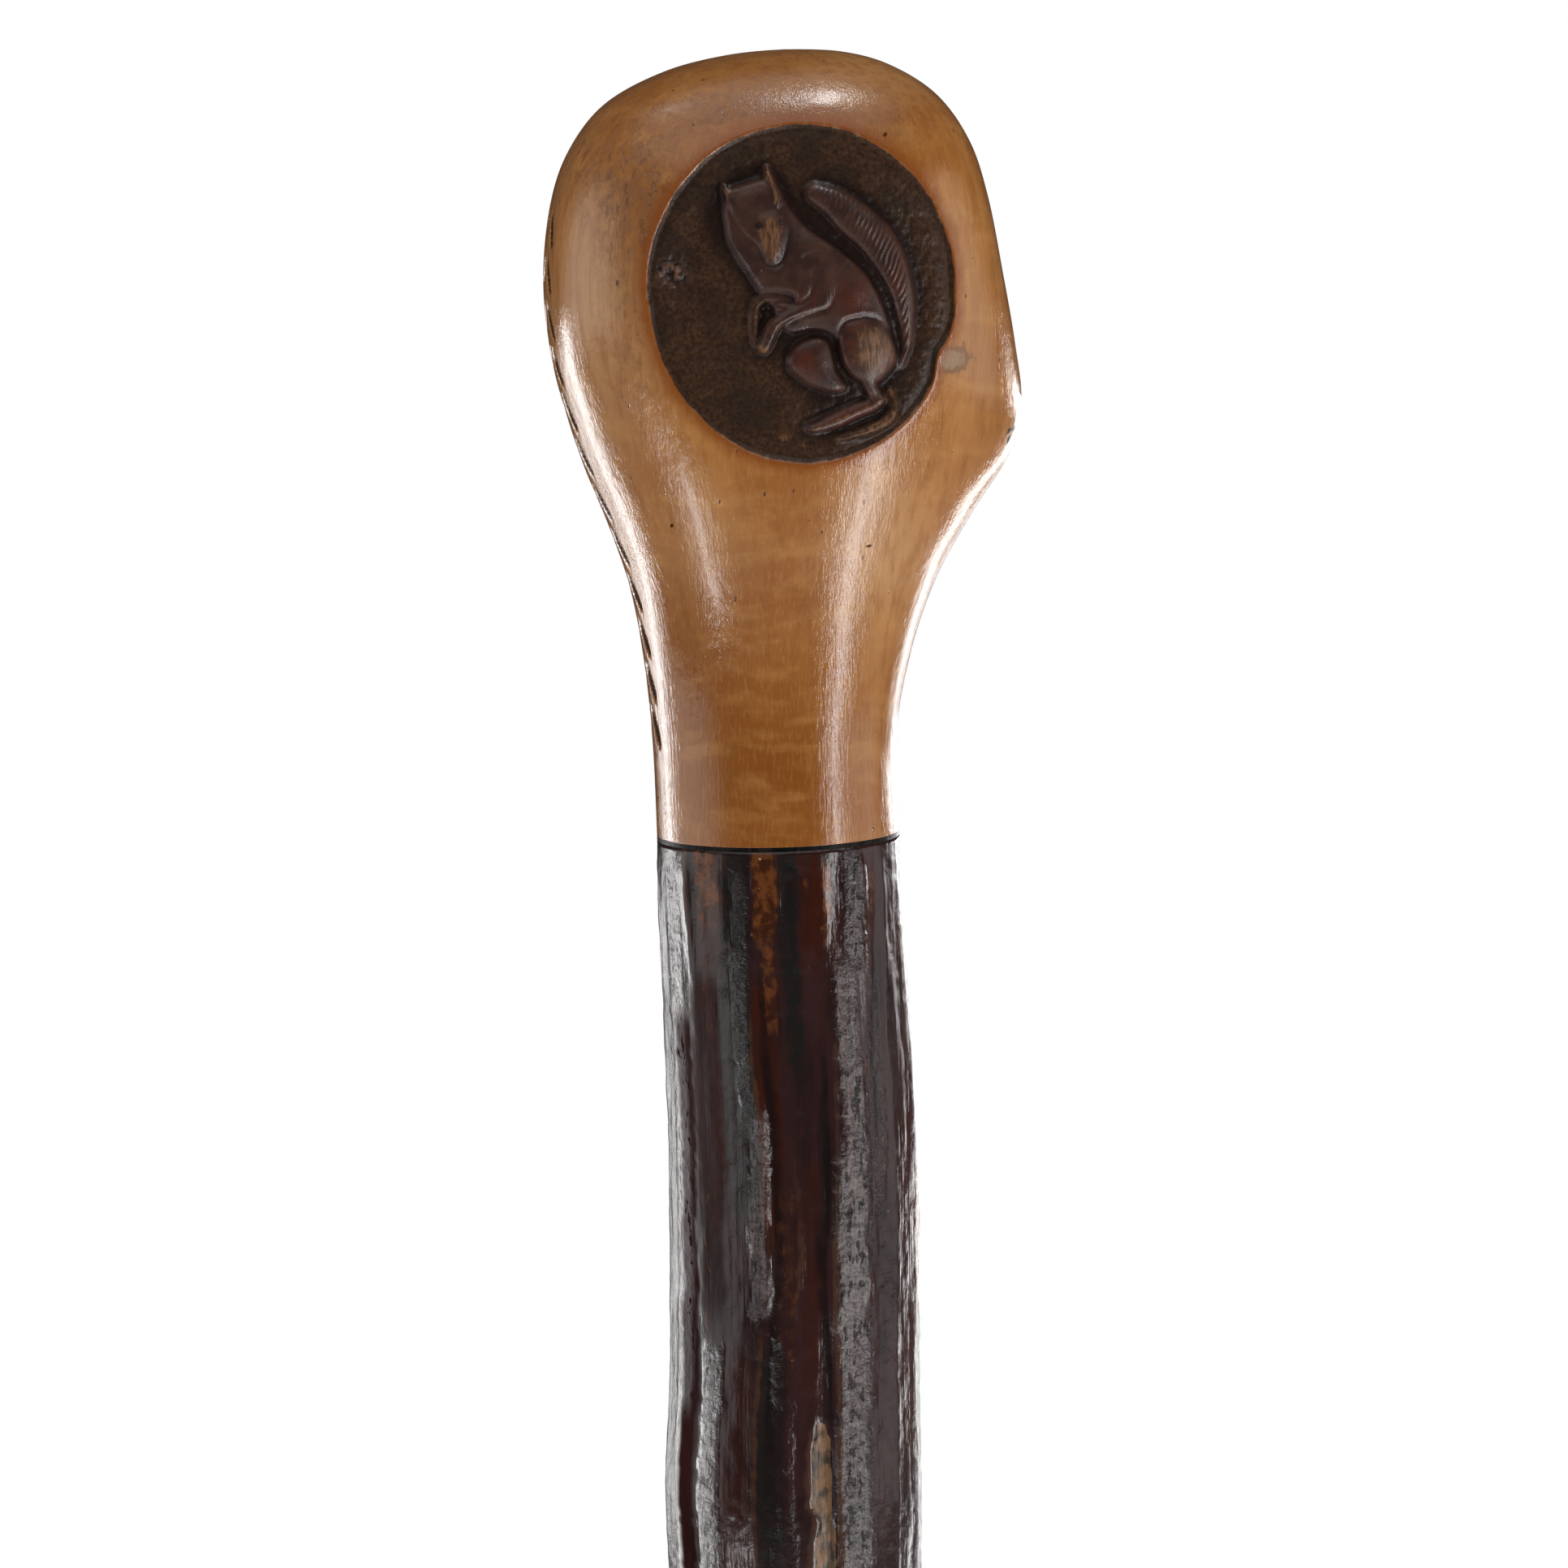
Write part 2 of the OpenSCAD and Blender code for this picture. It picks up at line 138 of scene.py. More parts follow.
strip("strip right", (52, .36, .06), (58, .8, .8), .085, 3.8)
strip("strip left", (-45, .7, .51), (-51, .7, .42), .055, .45)
for name, low, high, width, power in (
        ("panel left", (-116, .6, .38), (-126, .6, .77), .1, 1.8),
        ("panel far left", (-144, .6, .6), (-138, .6, .757), .08, .2),
        ("panel right", (128, .6, .49), (149, .6, .71), .07, .56),
        ("panel upper right", (140, .6, .76), (137, .6, .8), .1, .25),
        ("panel behind", (165, .6, .5), (165, .6, .72), .15, .3),
        ("panel low right", (158, .6, .73), (158, .6, .8), .15, .35)):
    strip(name, low, high, width, power).visible_diffuse = False
crown, knob = UP * .895, UP * .86
for name, side, rise, size, power in (("top right", 92, 74, (.12, .32), 2.9),
                                      ("top left", -114, 66, (.09, .2), .25)):
    lamp(name, crown + towards(FACE_AZIMUTH + side, rise) * 1.1, crown, power, size,
         towards(FACE_AZIMUTH, 0))
soft = lamp("soft left", towards(FACE_AZIMUTH - 75, 8) + knob, knob, 1.8, (.3, .3))
soft.visible_glossy = False

# %% Room
TREES = []                                  # the shader tree being built is the last one

def blank(owner):
    """Empties the shader tree of a material or world and opens it for building."""
    owner.use_nodes = True
    owner.node_tree.nodes.clear()
    TREES.append(owner.node_tree)
    return owner

def fill(socket, value):
    """Links or sets one input of a node."""
    if isinstance(value, bpy.types.NodeSocket):
        TREES[-1].links.new(value, socket)
    else:
        socket.default_value = (*value, 1) if socket.type == "RGBA" else value

def linked(kind, values=(), **settings):
    """A shader node with its settings, and its inputs by name or number."""
    made = TREES[-1].nodes.new("ShaderNode" + kind)
    for key, value in settings.items():
        setattr(made, key, value)
    for key, value in dict(values).items():
        fill(made.inputs[key], value)
    return made

def maths(operation, *values):
    return linked("Math", enumerate(values), operation=operation).outputs[0]

def times(a, b):
    return maths("MULTIPLY", a, b)

def vector(operation, *values, give=0):
    return linked("VectorMath", enumerate(values), operation=operation).outputs[give]

def remap(value, low, high, to_low=0, to_high=1):
    """Takes low..high smoothly to to_low..to_high and holds it there."""
    return linked("MapRange", enumerate((value, low, high, to_low, to_high)),
                  interpolation_type="SMOOTHSTEP").outputs[0]

def mixed(share, low, high):
    return linked("Mix", {0: share, 2: low, 3: high}).outputs[0]

def seen_rays():
    """1 for camera rays, and 1 for all that see a background: straight, mirrored, through."""
    path = linked("LightPath").outputs
    both = maths("MAXIMUM", path["Is Camera Ray"], path["Is Transmission Ray"])
    return path["Is Camera Ray"], maths("MAXIMUM", both, path["Is Glossy Ray"])

FILL = .66
bpy.context.scene.world = blank(bpy.data.worlds.new("room"))
direction = linked("TexCoord").outputs["Generated"]
wall = .03                                  # what mirrored rays see: dim, with three glows
for side, rise, start, full, level in ((-88, -5, .78, .97, 1.3), (90, -5, .88, .98, 1),
                                       (0, 75, .6, .9, .95)):
    ahead = vector("DOT_PRODUCT", direction, towards(FACE_AZIMUTH + side, rise), give="Value")
    wall = maths("ADD", wall, remap(ahead, start, full, 0, level))
straight, seen = seen_rays()
strength = mixed(seen, FILL, mixed(straight, wall, 1))
shade = linked("Background", {"Color": (1, 1, 1), "Strength": strength})
linked("OutputWorld", {"Surface": shade.outputs[0]})

# %% Floor
FLOOR_RADIUS, FLOOR_CORNERS = 3, 128
rim = [(FLOOR_RADIUS * math.cos(a), FLOOR_RADIUS * math.sin(a), 0)
       for a in np.linspace(0, 2 * math.pi, FLOOR_CORNERS, endpoint=False)]
sheet = bpy.data.meshes.new("floor")
sheet.from_pydata(rim, [], [tuple(range(FLOOR_CORNERS))])
floor = place_object("floor", sheet)
paper = blank(bpy.data.materials.new("floor paper"))
out = vector("LENGTH", linked("TexCoord").outputs["Object"], give="Value")
straight, seen = seen_rays()
matt = linked("BsdfDiffuse", {"Color": (.86, .86, .86)}).outputs[0]
glow = linked("Emission", {"Color": (1, 1, 1), "Strength": mixed(straight, .1, 1)}).outputs[0]
both = linked("MixShader", {0: times(remap(out, .7, 2.6), seen), 1: matt, 2: glow})
linked("OutputMaterial", {"Surface": both.outputs[0]})
sheet.materials.append(paper)
floor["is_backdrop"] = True
bpy.context.scene.view_settings.view_transform = "Standard"

# %% [markdown]
# ## The knob's outline
#
# The CAD part describes the knob by fifteen stations up its height. The same stations drive
# the visible mesh, so both have one shape; a sculpted mesh would drift from the CAD sizes.

# %% Stations: height, back, nose, half depth, squareness, nose taper, deepest place
STATIONS = np.array([
    [0, -13.1, 13.1, 13.1, 2, 0, 0],
    [10, -13.3, 13, 13, 2, 0, 0],
    [19, -14, 14.8, 13.6, 2, 0, 0],
    [27, -15.3, 17.8, 14.8, 2, .08, 0],
    [34, -17.5, 22, 16.2, 2, .18, 0],
    [40, -19.8, 26.1, 17.2, 2, .28, 0],
    [45.5, -21.5, 27.6, 17.8, 2.1, .28, .6],
    [52, -23, 27, 18, 2.3, .22, 1.4],
    [60, -23.6, 25.7, 17.9, 2.5, .15, 1.2],
    [68, -22.7, 24.3, 17.2, 2.5, .1, .9],
    [74, -20.6, 22.5, 15.9, 2.4, .05, 1],
    [79, -16.6, 19.2, 13.2, 2.3, 0, 1.3],
    [82.3, -10.2, 14.4, 9.1, 2.2, 0, 2.1],
    [83.9, -3.4, 9.3, 4.6, 2.1, 0, 2.9],
    [84.4, 3, 3, 0, 2, 0, 3]])
LAST = len(STATIONS) - 1

def through_four(a, b, c, d, f):
    """A smooth curve through four neighbouring values, from b at 0 to c at 1."""
    return .5 * (2 * b + (c - a) * f + (2 * a - 5 * b + 4 * c - d) * f ** 2
                 + (3 * b - a - 3 * c + d) * f ** 3)

def section(s):
    """The handle's section at any place s along the stations."""
    i = np.clip(np.floor(s).astype(int), 0, LAST - 1)
    near = (STATIONS[np.clip(i + k, 0, LAST)] for k in (-1, 0, 1, 2))
    return through_four(*near, (s - i)[..., None])

PLACES = np.linspace(0, LAST, 8001)
PLACE_HEIGHTS = section(PLACES)[:, 0]

def half_depth(x, cut):
    """Half the depth of a section at x."""
    _, back, nose, deep, square, taper, apex = np.moveaxis(cut, -1, 0)
    u = (x - apex) / np.maximum(np.where(x < apex, apex - back, nose - apex), 1e-6)
    bulge = np.clip(1 - np.abs(u) ** square, 0, 1) ** (1 / square)
    return deep * bulge * (1 - taper * np.clip(u, 0, None) ** 2)

def carved_face(x, z):
    """The y of the knob's front at a place (x, z), with z measured up from the joint."""
    return -half_depth(x, section(np.interp(z, PLACE_HEIGHTS, PLACES)))

# %% [markdown]
# ## Random hills
#
# Nothing made by hand is even. Smooth random hills, drawn from a numbered seed, bend edges,
# roughen the ground of the carving and break up the bark. Noise textures do this for colour;
# for the meshes a small lattice in numpy is quicker and repeats exactly.

# %% Random hills
LATTICE = 251

def hills(u, v, seed, around=LATTICE):
    """Random hills from -1 to 1, one to a unit square; u repeats after `around` squares."""
    lattice = np.random.default_rng(seed).uniform(-1, 1, (around, LATTICE))
    i, j = np.floor(u).astype(int), np.floor(v).astype(int)
    f, g = (w * w * (3 - 2 * w) for w in (u - i, v - j))
    low, top = (lattice[i % around, row % LATTICE] * (1 - f)
                + lattice[(i + 1) % around, row % LATTICE] * f for row in (j, j + 1))
    return low * (1 - g) + top * g

def smooth(value, low, high):
    """0 at low, 1 at high, with a smooth step between."""
    t = np.clip((value - low) / (high - low), 0, 1)
    return t * t * (3 - 2 * t)

# %% [markdown]
# ## The roundel
#
# The carver sank an oval bowl into the knob and left a squirrel standing in it. The relief is
# one sheet of heights above the bowl's ground. Each limb is an outline that is laid on the
# sheet and rounded off at its edge, and whatever lies under it is cut back along the outline,
# as a knife would do it. A displacement picture would do too; with outlines each limb can be
# moved by itself.

# %% The oval and its rim
CENTRE = (2.1, 59.4)
HALF = (16.7, 17.9)
MEAN_RADIUS = 17.3
GROUND = 1.5
WALL = .6

def rim_share(t):
    """The rim as a share of the oval at direction t in degrees: a dent at the knot, and the
    small unevenness of a hand-cut line."""
    dent = .045 * np.exp(-((t + 25) / 7) ** 2)
    askew = .02 * np.exp(-((t - 140) / 35) ** 2) - .012 * np.exp(-((t + 140) / 35) ** 2)
    askew += .015 * np.exp(-((t + 50) / 20) ** 2)
    return 1 - dent + askew + .005 * hills(t / 9 + 40, t * 0, 3, 40)

def outside_rim(x, z):
    """How far outside the rim a place on the face lies, in mm; negative inside."""
    p, q = (x - CENTRE[0]) / HALF[0], (z - CENTRE[1]) / HALF[1]
    t = np.degrees(np.arctan2(q, p))
    return (np.hypot(p, q) / rim_share(t) - 1) * MEAN_RADIUS

# %% The sheet and the tools that lay limbs on it
STEP = .14
GRID_X, GRID_Z = np.arange(-126, 127) * STEP, np.arange(-136, 137) * STEP
X, Z = np.meshgrid(GRID_X, GRID_Z, indexing="ij")
FAR, TINY = 99, 1e-12

def smooth_run(points, closed, steps=6):
    """Points on a smooth curve through the given ones; they may carry a width as well."""
    p = np.array(points, float)
    f = (np.arange(steps) / steps)[None, :, None]
    if closed:
        near = (np.roll(p, 1 - k, 0)[:, None] for k in range(4))
    else:
        q = np.vstack([p[:1], p, p[-1:]])
        near = (q[k:len(p) - 1 + k, None] for k in range(4))
    run = through_four(*near, f).reshape(-1, p.shape[1])
    return run if closed else np.vstack([run, p[-1:]])

def beside_leg(x, z, dx, dz):
    """The share along a straight leg that is nearest to each place, and the way from there."""
    f = np.clip(((X - x) * dx + (Z - z) * dz) / (dx * dx + dz * dz + TINY), 0, 1)
    return f, X - x - f * dx, Z - z - f * dz

def depth_inside(outline):
    """How deep each place of the sheet lies inside an outline; negative outside it."""
    loop = smooth_run(outline, True)
    nearest, inside = FAR, np.zeros(X.shape, bool)
    for (x, z), (x1, z1) in zip(loop, np.roll(loop, -1, 0)):
        dx, dz = x1 - x, z1 - z
        nearest = np.minimum(nearest, np.hypot(*beside_leg(x, z, dx, dz)[1:]))
        inside ^= ((z > Z) != (z1 > Z)) & (X < x + (Z - z) * dx / (dz + TINY))
    return np.where(inside, nearest, -nearest)

def beside_line(points):
    """For a line of [x, z, half width]: each place's signed share across it, and the half
    width there. Left of the line's direction counts as positive."""
    run = smooth_run(points, False)
    nearest, across, width = FAR, FAR, 1
    for (x, z, w), (dx, dz, dw) in zip(run, np.diff(run, axis=0)):
        f, off_x, off_z = beside_leg(x, z, dx, dz)
        away = np.hypot(off_x, off_z)
        closer = away < nearest
        nearest = np.where(closer, away, nearest)
        width = np.where(closer, w + f * dw, width)
        across = np.where(closer, away * np.sign(dx * off_z - dz * off_x), across)
    return across / width, width

GROOVE = .32                                # how deep the knife went along an outline

def lay(height, depth, edge, rise, bevel, cut=1, join=None):
    """Lays a limb on the relief, `edge` high at its outline and `rise` more from `bevel` mm
    inside it on. At `join` (x, z, radius) it runs on into what it grows from."""
    t = np.clip(depth / bevel, 0, 1)
    limb = edge + rise * np.sqrt(1 - (1 - t) ** 2)
    beneath = np.minimum(height, np.maximum(.55 * edge, height - GROOVE) - cut * depth)
    laid = np.where(depth > 0, limb, beneath)
    if join:
        free = smooth(np.hypot(X - join[0], Z - join[1]), .35 * join[2], join[2])
        laid = laid * free + np.maximum(height, limb * (depth > 0)) * (1 - free)
    return laid

def limb(height, outline, *how):
    """Lays a limb by its outline, and gives its depth as well."""
    depth = depth_inside(outline)
    return lay(height, depth, *how), depth

def spot(x, z, wide, tall=None):
    """A soft round or oval spot on the sheet, 1 at its middle."""
    return np.exp(-((X - x) / wide) ** 2 - ((Z - z) / (tall or wide)) ** 2)

def crease(points, width):
    """A soft line on the sheet, 1 along its middle."""
    across, _ = beside_line([[x, z, 1] for x, z in points])
    return np.exp(-(across / width) ** 2)

# %% [markdown]
# The squirrel sits up, seen from its right side, with its head bent down and its tail curled
# along its back. All places are in mm from the roundel's centre. The far limbs come first
# and the near ones last, in the order in which they cover each other.

# %% Tail
TAIL = [[1.5, 10.6, 1.1], [3.5, 9.5, 1.6], [5.4, 7.9, 1.95], [7.4, 6.1, 2], [8.9, 4, 1.9],
        [10, 1.8, 1.65], [10.7, -.5, 1.35], [11, -2.7, 1.05], [11.1, -4.7, .75],
        [10.9, -6.4, .5], [10.3, -7.9, .35]]
across, wide = beside_line(TAIL)
RIDGE = .35                                 # the tail is highest towards its outer edge
skewed = np.where(across > RIDGE, (across - RIDGE) / (1 - RIDGE), (RIDGE - across) / (1 + RIDGE))
tail_top = .15 + .95 * np.sqrt(np.clip(1 - skewed ** 2, 0, 1)) * np.minimum(wide / 1.4, 1)
hairs = np.cos(2 * np.pi * (.9 * X - .44 * Z) / .58 + 1.6 * hills(X / 1.3, Z / 1.3, 9))
hair_middle = np.interp(Z, (-3, 3, 8), (-.3, .05, .42))
combed = np.exp(-((across - hair_middle) / .38) ** 2)
hairs *= (.075 * combed + .02) * (.6 + .4 * hills(X / .9, Z / .9, 10))
tail = (1 - np.abs(across)) * wide
relief = np.where(tail > 0, tail_top, 0)

# %% Body
TORSO = [[-3.1, 11.9], [-2.2, 11.1], [-1.6, 9.7], [-.8, 8.5], [.1, 7.4], [1.6, 6.1], [3.3, 5],
         [4.9, 3.7], [6.5, 2.1], [7.7, .3], [8.5, -1.6], [9.1, -3.5], [9.4, -5.3], [9.4, -7.1],
         [8.7, -8.5], [7.1, -9.4], [5.1, -8.8], [3.7, -7], [3.2, -5], [2.2, -4.2],
         [.7, -3.8], [-.8, -4], [-2, -3.9], [-3, -2.8], [-3.7, -1.3], [-4.6, 0],
         [-5.3, 1.1], [-6.2, 2.7], [-7.3, 4.3], [-8, 5.9], [-8.2, 7.6], [-8.3, 9.1],
         [-8, 10.6], [-7.1, 11.4], [-5.1, 11.9]]
relief, torso = limb(relief, TORSO, .15, 1, 3.4, .9)
relief += .22 * spot(.8, 5.2, 1.9) + .12 * spot(6, 1.2, 2.4, 2.2)
relief -= .25 * spot(-.6, -3, 2, .9) + .14 * crease([(-6.4, 5.6), (-5.2, 3.2)], .5)
relief -= .1 * crease([(4, 3.4), (3.7, 1), (3.6, -1)], .7)

# %% Far arm, with its fingers
FAR_ARM = [[-1.7, -.4, .6], [-3.6, -.1, .55], [-5, -.6, .5], [-5.5, -1.7, .5],
           [-5.6, -3.2, .45], [-5.5, -4.7, .4], [-5.1, -5.7, .3]]
across, wide = beside_line(FAR_ARM)
relief = lay(relief, (1 - np.abs(across)) * wide, .25, .35, .5, .9)
relief -= .35 * spot(-4, -1.4, .75, .5)
relief -= .1 * crease([(-5.7, -2), (-5.3, -5.2)], .12)

# %% Far knee
FAR_KNEE = [[-1.9, -8], [-2.1, -6.8], [-1.5, -5.6], [-.3, -4.8], [1.2, -4.5], [2.3, -5.1],
            [2.8, -6.5], [3.1, -8], [3.7, -9.2], [4.2, -10.2], [3.1, -10.6], [1.6, -10.3],
            [.1, -9.6], [-1, -8.8]]
relief, knee = limb(relief, FAR_KNEE, .25, .95, 2.3)

# %% Near arm, bent at the elbow, and its paw
NEAR_ARM = [[-.1, 4], [1.5, 4.4], [2.7, 3.4], [3.1, 1.4], [2.9, -.3], [2.4, -1.4],
            [1, -1.8], [-.5, -2.2], [-2, -2.8], [-3, -3.7], [-3.6, -4.9], [-4.1, -5.8],
            [-4.8, -6.1], [-5.1, -5.6], [-4.8, -4.2], [-4.3, -3.1], [-3.7, -2.4], [-2.4, -1.7],
            [-.9, -1], [.3, -.2], [.7, .7], [.7, 2.2], [.3, 3.2]]
relief, arm = limb(relief, NEAR_ARM, .7, .5, .8, .9, (2.2, 2.2, 3.8))
relief -= .12 * crease([(-3.7, -3), (-4.5, -5.6)], .1)
relief -= .14 * crease([(.7, 2.6), (.8, 1.2), (.5, 0)], .16)
relief += .09 * crease([(2.3, -1), (.9, -1.45), (-.6, -1.9), (-2.2, -2.6)], .16)

# %% Head: a wedge with a flat forehead and a raised muzzle
HEAD = [[-8.1, 11.3], [-7.3, 11.5], [-6.1, 11.8], [-4.6, 12.2], [-3.4, 12.1], [-2.8, 11.4],
        [-2.5, 10.1], [-2.3, 8.9], [-1.7, 8], [-1.5, 6.9], [-1.7, 5.5], [-2.1, 4.3],
        [-2.6, 3.4], [-3.5, 3.1], [-4.3, 3.4], [-4.8, 4.5], [-5.3, 5.4], [-6.1, 6.2],
        [-6.9, 7.2], [-7.5, 8.6], [-7.9, 9.9]]
MUZZLE = [[-5.2, 8.3], [-4.3, 8.9], [-3, 9.1], [-2.2, 8.4], [-2.1, 7.2], [-2.2, 5.5],
          [-2.5, 4.3], [-3.1, 3.5], [-4, 3.7], [-4.4, 4.6], [-4.9, 5.8], [-5.3, 7.1]]
relief, head = limb(relief, HEAD, .65, .4, .8, 1.1)
relief += .15 * smooth(head, 0, .8) * smooth(-Z, -11.5, -4)
relief += .26 * np.sqrt(smooth(depth_inside(MUZZLE), 0, 1.2))
relief -= .14 * crease([(-7.3, 10.8), (-6.1, 11.2), (-4.4, 11.6)], .18)

# %% Ears
NEAR_EAR = [[-3.6, 13.7], [-3.1, 12.8], [-2.5, 11.4], [-2.3, 10.1], [-2.5, 9.3], [-3, 9.4],
            [-3.2, 10.6], [-3.5, 11.9], [-4, 12.3], [-3.8, 13.1]]
FAR_EAR = [[-8.3, 11.8], [-7.9, 11.6], [-7.5, 10.9], [-7.5, 10.2], [-7.9, 9.8], [-8.2, 10.6],
           [-8.3, 11.2]]
relief, ear = limb(relief, NEAR_EAR, .85, .4, .35, 1.3)
relief, _ = limb(relief, FAR_EAR, .65, .35, .3, 1.2)

# %% Near haunch and the fold above it
HAUNCH = [[3.9, -3.2], [4.9, -2.7], [6.6, -2.5], [8, -3.2], [9.1, -4.6], [9.7, -6.1],
          [9.8, -7.3], [9.2, -8.5], [8, -9.6], [6.6, -9.9], [5.2, -9.3], [4.1, -8.1],
          [3.5, -6.5], [3.5, -4.5]]
relief, haunch = limb(relief, HAUNCH, .5, .9, 2.5)
relief += .16 * crease([(3.7, -2.4), (5, -2.2), (7.3, -2.3)], .22)
relief += .05 * crease([(5.8, -6.4), (8.6, -6)], .14)

# %% Shank and feet
SHANK = [[5.7, -9.3], [7.1, -9.4], [7.8, -10.4], [8.4, -11.6], [8, -12.2], [7.2, -12.2],
         [6.6, -11.2], [6.1, -10.3]]
FOOT = [[8.4, -11.1], [6.6, -11.3], [4.5, -11.9], [2.5, -12.7], [.8, -13.4], [-.4, -13.8],
        [-.5, -14.2], [.1, -14.7], [1.7, -14.6], [3.5, -14.2], [5.5, -13.4], [7.3, -12.8],
        [8.5, -12]]
INSTEP = [(8, -11.7), (5, -12.8), (2.7, -13.6), (.5, -14.3)]
FAR_FOOT = [[9, -10.9, .5], [9.4, -12.3, .65], [8.9, -13.6, .7], [7.3, -14.4, .65],
            [5.2, -15, .5], [3, -15.4, .35]]
across, wide = beside_line(FAR_FOOT)
relief = lay(relief, (1 - np.abs(across)) * wide, .25, .5, .6)
relief, foot = limb(relief, FOOT, .35, .15, .4)
instep = np.abs(beside_line([[x, z, 1] for x, z in INSTEP])[0])
relief += .48 * np.clip(1 - instep, 0, 1) * smooth(foot, 0, .3)
relief, shank = limb(relief, SHANK, .65, .35, .5, 1, (6.8, -9.4, 1.6))

# %% Wear rounds it all off, and the ground keeps its tool marks
def blurred(field, mm):
    reach = np.arange(-int(3 * mm / STEP), int(3 * mm / STEP) + 1) * STEP
    kernel = np.exp(-.5 * (reach / mm) ** 2)
    for axis in (0, 1):
        field = np.apply_along_axis(np.convolve, axis, field, kernel / kernel.sum(), "same")
    return field

figure = np.maximum.reduce([torso, head, knee, arm, ear, haunch, shank, foot])
over_tail = smooth(-figure, 0, .3)
figure = np.maximum(figure, tail)
clear = smooth(-figure, -.05, .25)
relief -= .12 * np.exp(-(np.minimum(figure, 0) / .9) ** 2) * clear
relief -= .2 * spot(-6.5, 13.4, 2.2, .7) * clear
relief = blurred(relief, .2)
relief += hairs * smooth(tail, .1, .35) * over_tail
for x, z in ((-4.8, 7.5), (-2.5, 7.8)):     # eyes: a ball in a socket
    relief -= .2 * spot(x, z, .48, .38)
    relief += .2 * spot(x, z, .22, .19)
for x, z in ((-2.9, 4.1), (-3.7, 4)):       # nostrils
    relief -= .12 * spot(x, z, .18, .28)
peened = hills(X / .33, Z / .33, 11) * .7 + hills(X / .62 + 9, Z / .62, 12)
relief += clear * (.045 * peened + .05 * hills(X / 2.3, Z / 2.3, 13))
crusted = spot(-14.3, 2.8, 1.9, 1.5)        # a crust of old varnish at the left rim
relief += .45 * crusted * hills(X / .45, Z / .45, 15)
relief += (1 - clear) * .012 * hills(X / .9, Z / 1.6, 14)
relief = np.clip(relief, -.5, GROUND)
print("relief from", relief.min().round(2), "to", relief.max().round(2), "mm")

# %% Wear, colour and shade of the carving
def spots(*table):
    """Soft spots added up: (strength, x, z, half width, half height)."""
    return sum(s * spot(*place) for s, *place in table)

def creases(*table):
    """Soft lines added up: (strength, half width, points)."""
    return sum(s * crease(points, width) for s, width, points in table)

hollow = np.clip((blurred(relief, .45) - relief) / .2, -1, 1)
# Painted shade: the ground darkens round the figure, in the eye sockets and left of the head.
deep = np.clip((blurred(relief, 1.6) - relief) / .5, 0, 1)
deep = np.clip(deep + spots((.9, -4.8, 7.5, .5, .4), (.7, -2.5, 7.8, .35))
               + .6 * clear * spot(-9.3, 8.5, 1.5, 3.6), 0, 1)
# Bare wood where the carving is worn: muzzle, haunch, heel and far foot. The thin lines along the
# near ear, forearm, haunch edge and instep, and the spots at the paw, hock and far ear, are
# painted highlights laid on as bare wood.
wear_and_highlights = (spots((.95, -3.7, 5.6, .9, 2), (.6, -3.8, 7.2, 1.7, 1.6), (.9, -4.8, -5.6, .5),
                (.9, 8.6, -10.9, .5, .8), (.7, -2.6, -15.1, 1, .5),
                (.6, -.4, -16, 1.2, .4), (.35, 6.7, -11, .5), (.8, -8, 11.2, .3))
          + creases((.9, .14, [(-3.6, 13), (-2.9, 10.7), (-3, 9.8)]),
                    (.5, .14, [(2.2, -1.25), (-.5, -2), (-3.2, -3.6)]),
                    (.6, .14, [(3.6, -4.6), (3.5, -7.4), (4.45, -9.4)]), (.4, .16, INSTEP))
          + smooth(haunch, .1, .8) * .95 * spot(7.2, -6.2, 2.2, 2.8) + .5 * crusted
          + .6 * np.exp(-(beside_line(FAR_FOOT)[0] / .8) ** 2) * spot(7.6, -13.4, 2.6, 1.6))
red = (spots((.9, -.2, -6.9, 1.5, 1.6), (.8, 5.4, -.4, 2.4, 1.7), (.8, 4.5, -5.4, .8, 2.2),
             (.7, 6.2, -3.2, 1.2, .6), (.5, -.2, -.6, 2.4, 1.2), (.8, -3, 4.8, .5),
             (.4, 11.2, -4.5, .8, 2.4), (.5, 10, 1.6, 1.4, 2.6))
       + .6 * crease([(-7.9, 10), (-7.9, 7.4)], .35) + .9 * smooth(foot, .05, .5))
SHEETS = {"hollow": hollow, "deep": deep, "wear_and_highlights": np.clip(wear_and_highlights, 0, 1),
          "red": np.clip(red, 0, 1), "figure": np.clip(1 - clear + crusted, 0, 1)}

def on_sheet(field, x, z):
    """The value of a sheet at places on the face, between its grid points."""
    u, v = (np.clip((w - middle - grid[0]) / STEP, 0, len(grid) - 1.001)
            for w, middle, grid in ((x, CENTRE[0], GRID_X), (z, CENTRE[1], GRID_Z)))
    i, j = u.astype(int), v.astype(int)
    f, g = u - i, v - j
    return ((field[i, j] * (1 - f) + field[i + 1, j] * f) * (1 - g)
            + (field[i, j + 1] * (1 - f) + field[i + 1, j + 1] * f) * g)

def sunk(x, z):
    """How far below the knob's face the carved surface lies."""
    out = outside_rim(x, z)
    t = np.clip((.12 - out) / (WALL + .12), 0, 1)
    floor_here = .65 + (GROUND - .65) * smooth(-out, .8, 4.5)
    wall = floor_here * (.75 * t + .25 * t * t * (3 - 2 * t))
    worn_edge = .05 * np.exp(-(np.maximum(out, 0) / .3) ** 2)
    return wall + worn_edge - on_sheet(relief, x, z) * smooth(-out, .5 * WALL, 1.1 * WALL)

# %% [markdown]
# ## The handle's mesh
#
# The knob and its carving are one piece of wood, so they are one closed mesh. Rows and columns
# follow the outline; a block of them is left open on the front, rings lead from its edge to
# the rim and down the wall, and a fine square grid carries the carving. A uniform fine mesh
# would need millions of faces for the same carving.

